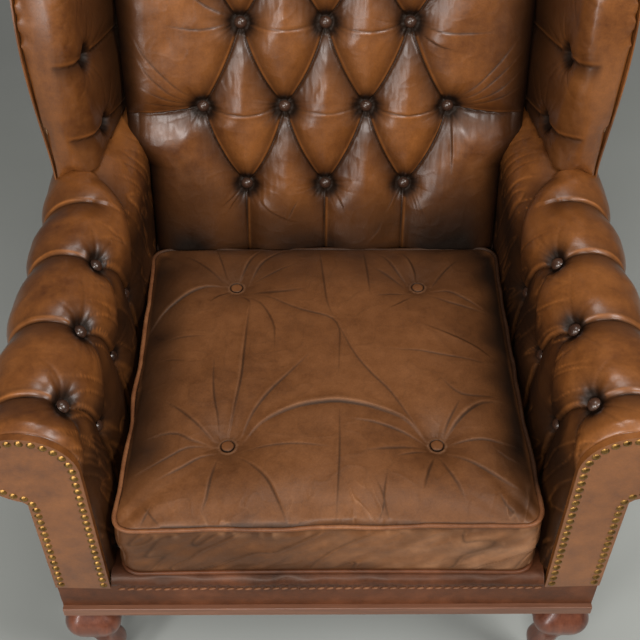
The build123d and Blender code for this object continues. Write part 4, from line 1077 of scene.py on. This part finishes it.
    # Painted shade in the gaps along both seams and in the folds of the walls
    seam_gap = np.minimum(np.abs(z - seam), np.abs(z - SEAM_BOTTOM))
    dark = np.maximum(dark * np.maximum(upper, 0.3), 0.85 * bump(seam_gap, 4 * MM) * side_face)
    dark = np.maximum(dark, 0.62 * wall * creases(slanted + 4 * MM, z * 0.7, 46, 63, 18))
    # Painted shade on the walls: darker toward the left and toward the bottom
    low = ramped(SEAM_BOTTOM + 26 * MM - z, 26)
    soot = np.where(side_face, unit(0.60 * (1 - patina_and_shading) + 0.35 * low), soot * upper)
    mesh.vertices.foreach_set("co", points.ravel())
    set_marks(mesh, crease=dark, wear=worn_and_sheen, soot=soot)
    mesh.update()


def cushion_pipings():
    """Both piping cords, wandering with their seams."""
    x, y, away = rim_line(*rim_shares(PIPING_COLUMNS, PIPING_ROWS))
    sideways, upward = seam_wander(x, y)
    radii = PIPING_RADIUS * (1 + 0.07 * noise(x, y, 9, 71))
    reach = sideways + PIPING_OUT
    line = np.stack([x + away[:, 0] * reach, y + away[:, 1] * reach * WANDER_IN_DEPTH,
                     SEAM_TOP + seam_rise(x, y) + upward], -1)
    top = tube("piping_top", line, radii)
    # Painted shade on the top cord along the back and down the right side
    rear_shade = ramped(y - CUSHION_BACK + 50 * MM, 50)
    behind_front = ramped(y - CUSHION_FRONT - 15 * MM, 50)
    right = ramped(x - 220 * MM, 20) * behind_front
    set_marks(top.data, crease=np.repeat(0.9 * np.maximum(rear_shade, right), TUBE_SIDES))
    finish_piece(top, "seat_cushion", "piping_leather", "cushion_piping_top")
    line = np.stack([x + away[:, 0] * PIPING_OUT, y + away[:, 1] * PIPING_OUT,
                     np.full_like(x, SEAM_BOTTOM)], -1)
    bottom = tube("piping_bottom", line, radii)
    # The bottom cord takes the darker band leather as painted shade, low under the cushion
    finish_piece(bottom, "seat_cushion", "piping_leather", "cushion_piping_bottom",
                 material=BAND_LEATHER)


def seat_buttons():
    """Flat leather buttons of the seat, sunk in their tufts, with painted shade round their edges."""
    radius, height = 8.3 * MM, 2.4 * MM
    rings, sides = 10, 32
    points, faces, dark = [], [], []
    for tx, ty in TUFTS:
        faces += ringed_faces(rings, sides, len(points))
        for i in range(rings):
            f = i / (rings - 1)
            flat = radius * math.sin(f * math.pi / 2) ** 0.75
            drop = height * (1 - math.cos(f * math.pi / 2) ** 0.45)
            for j in range(sides):
                angle = 2 * math.pi * j / sides
                pinch = 1 + 0.02 * math.sin(5 * angle + tx * 90)
                points.append((tx + flat * pinch * math.cos(angle), ty + flat * pinch * math.sin(angle),
                               TUFT_FLOOR + height - drop))
                # Painted shade toward each button's rim
                dark.append(min(1.0, max(0.0, 3.4 * f - 1.9)))
    piece = make_mesh("seat_button_set", np.array(points), faces, crease=dark)
    finish_piece(piece, "seat_cushion", "cushion_leather", "cushion_buttons")


# Arms: padded wall and roll, buttoned, one profile carried along the arm
ARM_FRONT = CUSHION_FRONT
ARM_HALF_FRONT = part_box("arm_facing_right")[0].x
ARM_HALF_BACK = 262 * MM
ROLL = 60 * MM
ROLL_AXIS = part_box("arm_facing_right")[1].z - ROLL
ARM_WALL = 34 * MM
UNDER = math.radians(75)
ARM_TURN = math.atan2(ARM_HALF_FRONT - ARM_HALF_BACK, BACK_Y - ARM_FRONT)
ARM_BUTTON_SPACING = 115 * MM
ARM_FIRST_BUTTON = 60 * MM
WALL_BUTTON_HEIGHT = 478 * MM
SHOULDER_ANGLE = math.radians(135)


def arm_profile(s):
    """Place and outward direction on the arm's profile at a distance up from the seat rail."""
    wall = ROLL_AXIS - RAIL_TOP
    round_part = np.clip((s - wall) / ROLL, 0, math.pi + UNDER)
    angle = math.pi - round_part
    on_wall = s < wall
    a = np.where(on_wall, 0, ROLL + ROLL * np.cos(angle))
    z = np.where(on_wall, RAIL_TOP + s, ROLL_AXIS + ROLL * np.sin(angle))
    out_a = np.where(on_wall, -1, np.cos(angle))
    out_z = np.where(on_wall, 0, np.sin(angle))
    return a, z, out_a, out_z


ARM_LOOK = look_of(rays=15, seed=19, button=17, floor=8.5, pleat=9.5, reach=46, bow=3, line=1.3,
                   crease=4, lip=0.9, ray_reach=72, ray_width=1.7, ray_depth=1.7)
ARM_FULL = 5 * MM
ARM_BEHIND = 68 * MM
ARM_CELL = 2.4 * MM
ARM_COLUMNS = 236


def arm_length(z, short=0.0):
    """Length along the arm, at a height, from its front to a place behind the back's face."""
    slope = (z - SEAM_TOP + ARM_BEHIND * LEAN_SIN) / LEAN_COS
    end_y = BACK_Y + slope * LEAN_SIN + ARM_BEHIND * LEAN_COS
    return (end_y - ARM_FRONT - short) / math.cos(ARM_TURN)


def arm_points(side, across, along, height):
    """World places of points across and along an arm."""
    x = ARM_HALF_FRONT + across * math.cos(ARM_TURN) - along * math.sin(ARM_TURN)
    y = ARM_FRONT + across * math.sin(ARM_TURN) + along * math.cos(ARM_TURN)
    return np.stack([side * x, y, height + 0 * along], -1)


def padded_arm(side, name, node):
    """One inside arm with its rolled top, as a closed pad. side is -1 on the left, 1 on the right."""
    wall = ROLL_AXIS - RAIL_TOP
    reach = wall + ROLL * (math.pi + UNDER)
    s_line = np.arange(0, reach, ARM_CELL)
    rows = len(s_line)
    t_share = np.linspace(0, 1, ARM_COLUMNS)
    a, z, out_a, out_z = arm_profile(s_line)
    t = t_share[None, :] * arm_length(z, 1 * MM)[:, None]
    s = np.repeat(s_line[:, None], len(t_share), 1)
    shoulder_s = wall + ROLL * (math.pi - SHOULDER_ANGLE)
    wall_s = WALL_BUTTON_HEIGHT - RAIL_TOP
    backs = [ARM_FIRST_BUTTON + i * ARM_BUTTON_SPACING for i in range(3)]
    shoulder = [(b, shoulder_s) for b in backs]
    low = [(b + ARM_BUTTON_SPACING / 2, wall_s) for b in backs]
    pleats = []
    for i in range(3):
        pleats.append((shoulder[i], (backs[i] - 6 * MM, reach - 30 * MM)))
        pleats.append((low[i], (low[i][0], 0.0)))
        pleats.append((shoulder[i], low[i]))
        if i:
            pleats.append((shoulder[i], low[i - 1]))
    pleats.append((low[2], (low[2][0] + 90 * MM, wall_s + 150 * MM)))
    pleats.append((shoulder[0], (0.0, wall_s + 30 * MM)))
    pleats.append(((backs[2] + 100 * MM, shoulder_s + 30 * MM), (backs[2] + 92 * MM, reach - 60 * MM)))
    depth, dark, worn_and_sheen, soot = tufted(t, s, shoulder + low, pleats, ARM_LOOK)
    drawn = creases(t + 0.45 * s, s * 0.22, 20, 85 + side, 8)
    on_inside = ramped(wall + 70 * MM - s, 50)
    lift = (ARM_FULL - depth + 0.8 * MM * rough(t, s, 40, 81 + side)
            - (0.25 + 1.4 * on_inside) * MM * drawn)
    # Painted shade in the drawn creases of the inside
    dark = np.maximum(dark, 0.6 * on_inside * drawn ** 2)
    edge = creases(t + 0.45 * s - 3 * MM, s * 0.22, 20, 85 + side, 20)
    worn_and_sheen = np.maximum(worn_and_sheen, 0.6 * on_inside * edge)
    # Painted shade down the inside wall, a little deeper on the right arm
    inner_side_shade = ramped(wall + 30 * MM - s, 60) * (0.85 + 0.2 * noise(t, s, 40, 87))
    soot = np.maximum(soot, inner_side_shade)
    dark = np.maximum(dark, (0.84 + 0.07 * side) * inner_side_shade)
    hem = ramped(s, 25) * ramped(reach - s, 30)
    front_hem = ramped(t, 14)
    lift = lift * hem * np.sqrt(front_hem) - 3 * MM * (1 - front_hem)
    points = arm_points(side, a[:, None] + out_a[:, None] * lift, t, z[:, None] + out_z[:, None] * lift)
    hidden = [
        arm_points(side, ARM_WALL, t_share * arm_length(height), height)
        for height in (RAIL_TOP + (ROLL_AXIS - RAIL_TOP) * 0.6, RAIL_TOP)
    ]
    points = np.concatenate([points, np.array(hidden)])
    total, columns = rows + 2, len(t_share)
    last = (total - 1) * columns
    faces = grid_faces(total, columns)
    faces += [(last + j, last + j + 1, j + 1, j) for j in range(columns - 1)]
    faces.append(tuple(range(last, -1, -columns)))
    faces.append(tuple(range(columns - 1, total * columns, columns)))
    if side > 0:
        faces = reversed_faces(faces)
    piece = make_mesh(name, points, faces, crease=dark, wear=worn_and_sheen, soot=soot)
    finish_piece(piece, "chair", "chair_leather", node, fill=0.7)


# Wings: the frame's pad shape, remeshed and swelled
WING_REACH = 232 * MM
WING_BUTTON_SHARES = ((0.51, 0.335), (0.715, 0.50), (0.68, 0.675), (0.455, 0.83))
WING_PLACES = [(forward * WING_REACH, up * SLOPE) for forward, up in WING_BUTTON_SHARES]
WING_FLARE = math.radians(9)
WING_ROOT = 284 * MM
WING_LOOK = look_of(rays=14, seed=29, button=8, floor=8.5, pleat=5, reach=40, bow=3, line=1.8,
                    crease=3, lip=0.8, ray_reach=80, ray_width=2.0, ray_depth=1.5)


def wing_axes(side):
    """Origin, forward, up and outward directions of a wing. side is -1 on the left."""
    origin = back_point(np.array(side * WING_ROOT), np.array(0.0), np.array(-75 * MM))
    across = np.array([1.0, 0.0, 0.0])
    up = np.array([0.0, LEAN_SIN, LEAN_COS])
    normal = np.array([0.0, -LEAN_COS, LEAN_SIN])
    forward = across * side * math.sin(WING_FLARE) + normal * math.cos(WING_FLARE)
    outward = across * side * math.cos(WING_FLARE) - normal * math.sin(WING_FLARE)
    return origin, forward, up, outward


def padded_wing(side, name, node):
    """One wing pad: the frame's solid remeshed, swelled a little and buttoned again."""
    source = nodes[node]
    piece = source.copy()
    piece.data = source.data.copy()
    piece.name = name
    piece.data.name = name
    for key in list(piece.keys()):
        del piece[key]
    piece.parent = None
    bpy.context.scene.collection.objects.link(piece)
    modifier = piece.modifiers.new("even", "REMESH")
    modifier.mode = "VOXEL"
    modifier.voxel_size = 5 * MM
    graph = bpy.context.evaluated_depsgraph_get()
    piece.data = bpy.data.meshes.new_from_object(piece.evaluated_get(graph))
    piece.modifiers.clear()
    swell(piece, [], frames=12, cap=5 * MM)
    subdivided(piece, 1)
    mesh = piece.data
    points = read_points(mesh)
    origin, forward, up, outward = wing_axes(side)
    local = points - origin
    x, y, z = local @ forward, local @ up, local @ outward
    inner = faded(z - 14 * MM, 10)
    pleats = []
    for place in WING_PLACES:
        pleats.append((place, (-20 * MM, place[1])))
        pleats.append((place, (240 * MM, place[1] + 6 * MM)))
    depth, dark, worn_and_sheen, soot = tufted(x, y, WING_PLACES, pleats, WING_LOOK)
    # Painted shade toward the back, where the wing meets it
    rear_shade = unit(1.25 - x / (190 * MM))
    soot = np.maximum(soot, rear_shade)
    dark = np.maximum(dark, 0.74 * rear_shade)
    points = points + outward[None, :] * ((depth - 3 * MM) * inner)[:, None]
    mesh.vertices.foreach_set("co", points.ravel())
    set_marks(mesh, crease=dark * inner, wear=worn_and_sheen * inner, soot=soot * inner)
    mesh.shade_smooth()
    finish_piece(piece, "chair", "chair_leather", node, fill=0.6)


# Front lip with its puckered stitches
STITCH_SPACING = 11.5 * MM
STITCH_LENGTH_SHARE = 0.95


def front_lip():
    """Padded edge under the cushion, gathered by a row of hand stitches."""
    low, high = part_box("seat_lip")
    x_line = np.arange(low.x, high.x, 1.4 * MM)
    radius = 12 * MM
    middle_z = (RAIL_TOP + DECK_TOP) / 2
    profile = []
    for angle in np.linspace(-90, 90, 15):
        turn = math.radians(angle)
        profile.append((low.y + radius - radius * math.cos(turn),
                        middle_z + (DECK_TOP - RAIL_TOP) / 2 * math.sin(turn)))
    foot = RAIL_TOP + 6 * MM
    profile += [(high.y, DECK_TOP), (high.y, foot), (ARM_FRONT + 10 * MM, foot)]
    profile = np.array(profile)
    rows = len(profile)
    x = np.repeat(x_line[None, :], rows, 0)
    y = np.repeat(profile[:, :1], len(x_line), 1)
    z = np.repeat(profile[:, 1:], len(x_line), 1)
    phase = (x / STITCH_SPACING) % 1
    pucker = np.abs(np.sin(math.pi * phase)) ** 0.6
    level = unit((z - RAIL_TOP) / (DECK_TOP - RAIL_TOP))
    near = np.zeros((rows, 1))
    front_rows = 11
    near[:front_rows] = unit(1 - np.linspace(0, 1.1, front_rows)[:, None])
    y = y - 2.6 * MM * (pucker - 0.6) * near + 1.6 * MM * noise(x, z * 3, 26, 91) * (level < 0.95)
    z = z + 0.8 * MM * noise(x, y * 0, 40, 93) * (level < 0.9)
    points = np.stack([x, y, z], -1)
    columns = len(x_line)
    faces = reversed_faces(grid_faces(rows, columns))
    last = (rows - 1) * columns
    faces += [(j, j + 1, last + j + 1, last + j) for j in range(columns - 1)]
    faces.append(tuple(range(0, rows * columns, columns)))
    faces.append(tuple(range(rows * columns - 1, 0, -columns)))
    # Painted shade in the gathers between stitches, and darker toward the left, with random tone
    dark = 0.75 * (1 - pucker) * near + 0 * x
    soot = unit(0.45 + 0.5 * rough(x, z, 60, 95, 2) - x / (900 * MM))
    piece = make_mesh("front_lip", points, faces, crease=dark, soot=soot)
    finish_piece(piece, "chair", "chair_leather", "seat_lip", material=BAND_LEATHER, fill=0.7)


def edge_stitches():
    """Slanted whip stitches that close the lip onto the band, each a small pad of leather."""
    low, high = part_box("edge_stitches")
    x_line = np.arange(low.x + STITCH_SPACING / 2, high.x, STITCH_SPACING)
    rings, sides = 9, 8
    long, thick = STITCH_LENGTH_SHARE * STITCH_SPACING / 2, 1.9 * MM
    points, faces, worn_and_sheen = [], [], []
    for x in x_line:
        faces += ringed_faces(rings, sides, len(points))
        wobble = 0.5 * MM * float(noise(np.array(x), np.array(0.0), 30, 97))
        for i in range(rings):
            f = 2 * (i + 0.5) / rings - 1
            girth = thick * math.sqrt(1 - f * f) + 0.15 * MM
            for j in range(sides):
                angle = 2 * math.pi * j / sides
                points.append((
                    x + f * long,
                    low.y + thick * 0.5 - girth * math.cos(angle),
                    (low.z + high.z) / 2 + wobble + 1.2 * MM * f + 0.8 * girth * math.sin(angle),
                ))
                # Painted highlight along the top of each stitch
                worn_and_sheen.append(0.45 * max(0.0, math.sin(angle)) * (1 - f * f))
    piece = make_mesh("edge_stitch_row", np.array(points), faces, wear=worn_and_sheen)
    finish_piece(piece, "chair", "waxed_thread", "edge_stitches", material=BAND_LEATHER)


# Floor, lights and camera
FLOOR_HALF = 6
LAMP_TARGET = Vector((0, -0.05, 0.5))
LAMPS = {
    "key": ((1.6, -1.3, 2.3), (0.8, 0.8), 37),
    "overhead": ((0.1, -0.25, 2.7), (0.9, 0.7), 15),
    "window": ((-0.3, -2.2, 2.0), (0.75, 0.42), 33),
    "strip": ((-1.3, -2.0, 1.2), (0.4, 1.5), 22),
}
WORLD_COLOUR = (1.0, 0.98, 0.96, 1.0)
WORLD_STRENGTH = 0.08
SENSOR_WIDTH = 36


def studio():
    """Pale floor, soft lamps and the camera at the photograph's angle."""
    scene = bpy.context.scene
    corners = [(x * FLOOR_HALF, y * FLOOR_HALF, 0) for x, y in ((-1, -1), (1, -1), (1, 1), (-1, 1))]
    floor = make_mesh("floor", np.array(corners, float), [(0, 1, 2, 3)])
    floor.data.materials.append(plain_floor())
    for name, (place, size, energy) in LAMPS.items():
        lamp = bpy.data.lights.new(name, "AREA")
        lamp.shape = "RECTANGLE"
        lamp.size, lamp.size_y = size
        lamp.energy = energy
        holder = bpy.data.objects.new(name, lamp)
        holder.location = place
        holder.rotation_euler = (LAMP_TARGET - Vector(place)).to_track_quat("-Z", "Y").to_euler()
        scene.collection.objects.link(holder)
    world = bpy.data.worlds.new("studio")
    world.use_nodes = True
    background = world.node_tree.nodes["Background"]
    background.inputs["Color"].default_value = WORLD_COLOUR
    background.inputs["Strength"].default_value = WORLD_STRENGTH
    scene.world = world
    camera = bpy.data.cameras.new("camera")
    camera.sensor_width = SENSOR_WIDTH
    camera.lens = FOCAL / PICTURE * SENSOR_WIDTH
    holder = bpy.data.objects.new("camera", camera)
    holder.location = CAMERA_PLACE
    holder.rotation_euler = (math.pi / 2 - CAMERA_PITCH, 0, CAMERA_YAW)
    scene.collection.objects.link(holder)
    scene.camera = holder
    scene.view_settings.view_transform = "Standard"


back_quilt()
seat_cushion()
cushion_pipings()
seat_buttons()
padded_arm(-1, "arm_leather_left", "arm_pad_left")
padded_arm(1, "arm_leather_right", "arm_pad_right")
padded_wing(-1, "wing_leather_left", "wing_pad_left")
padded_wing(1, "wing_leather_right", "wing_pad_right")
front_lip()
edge_stitches()
studio()
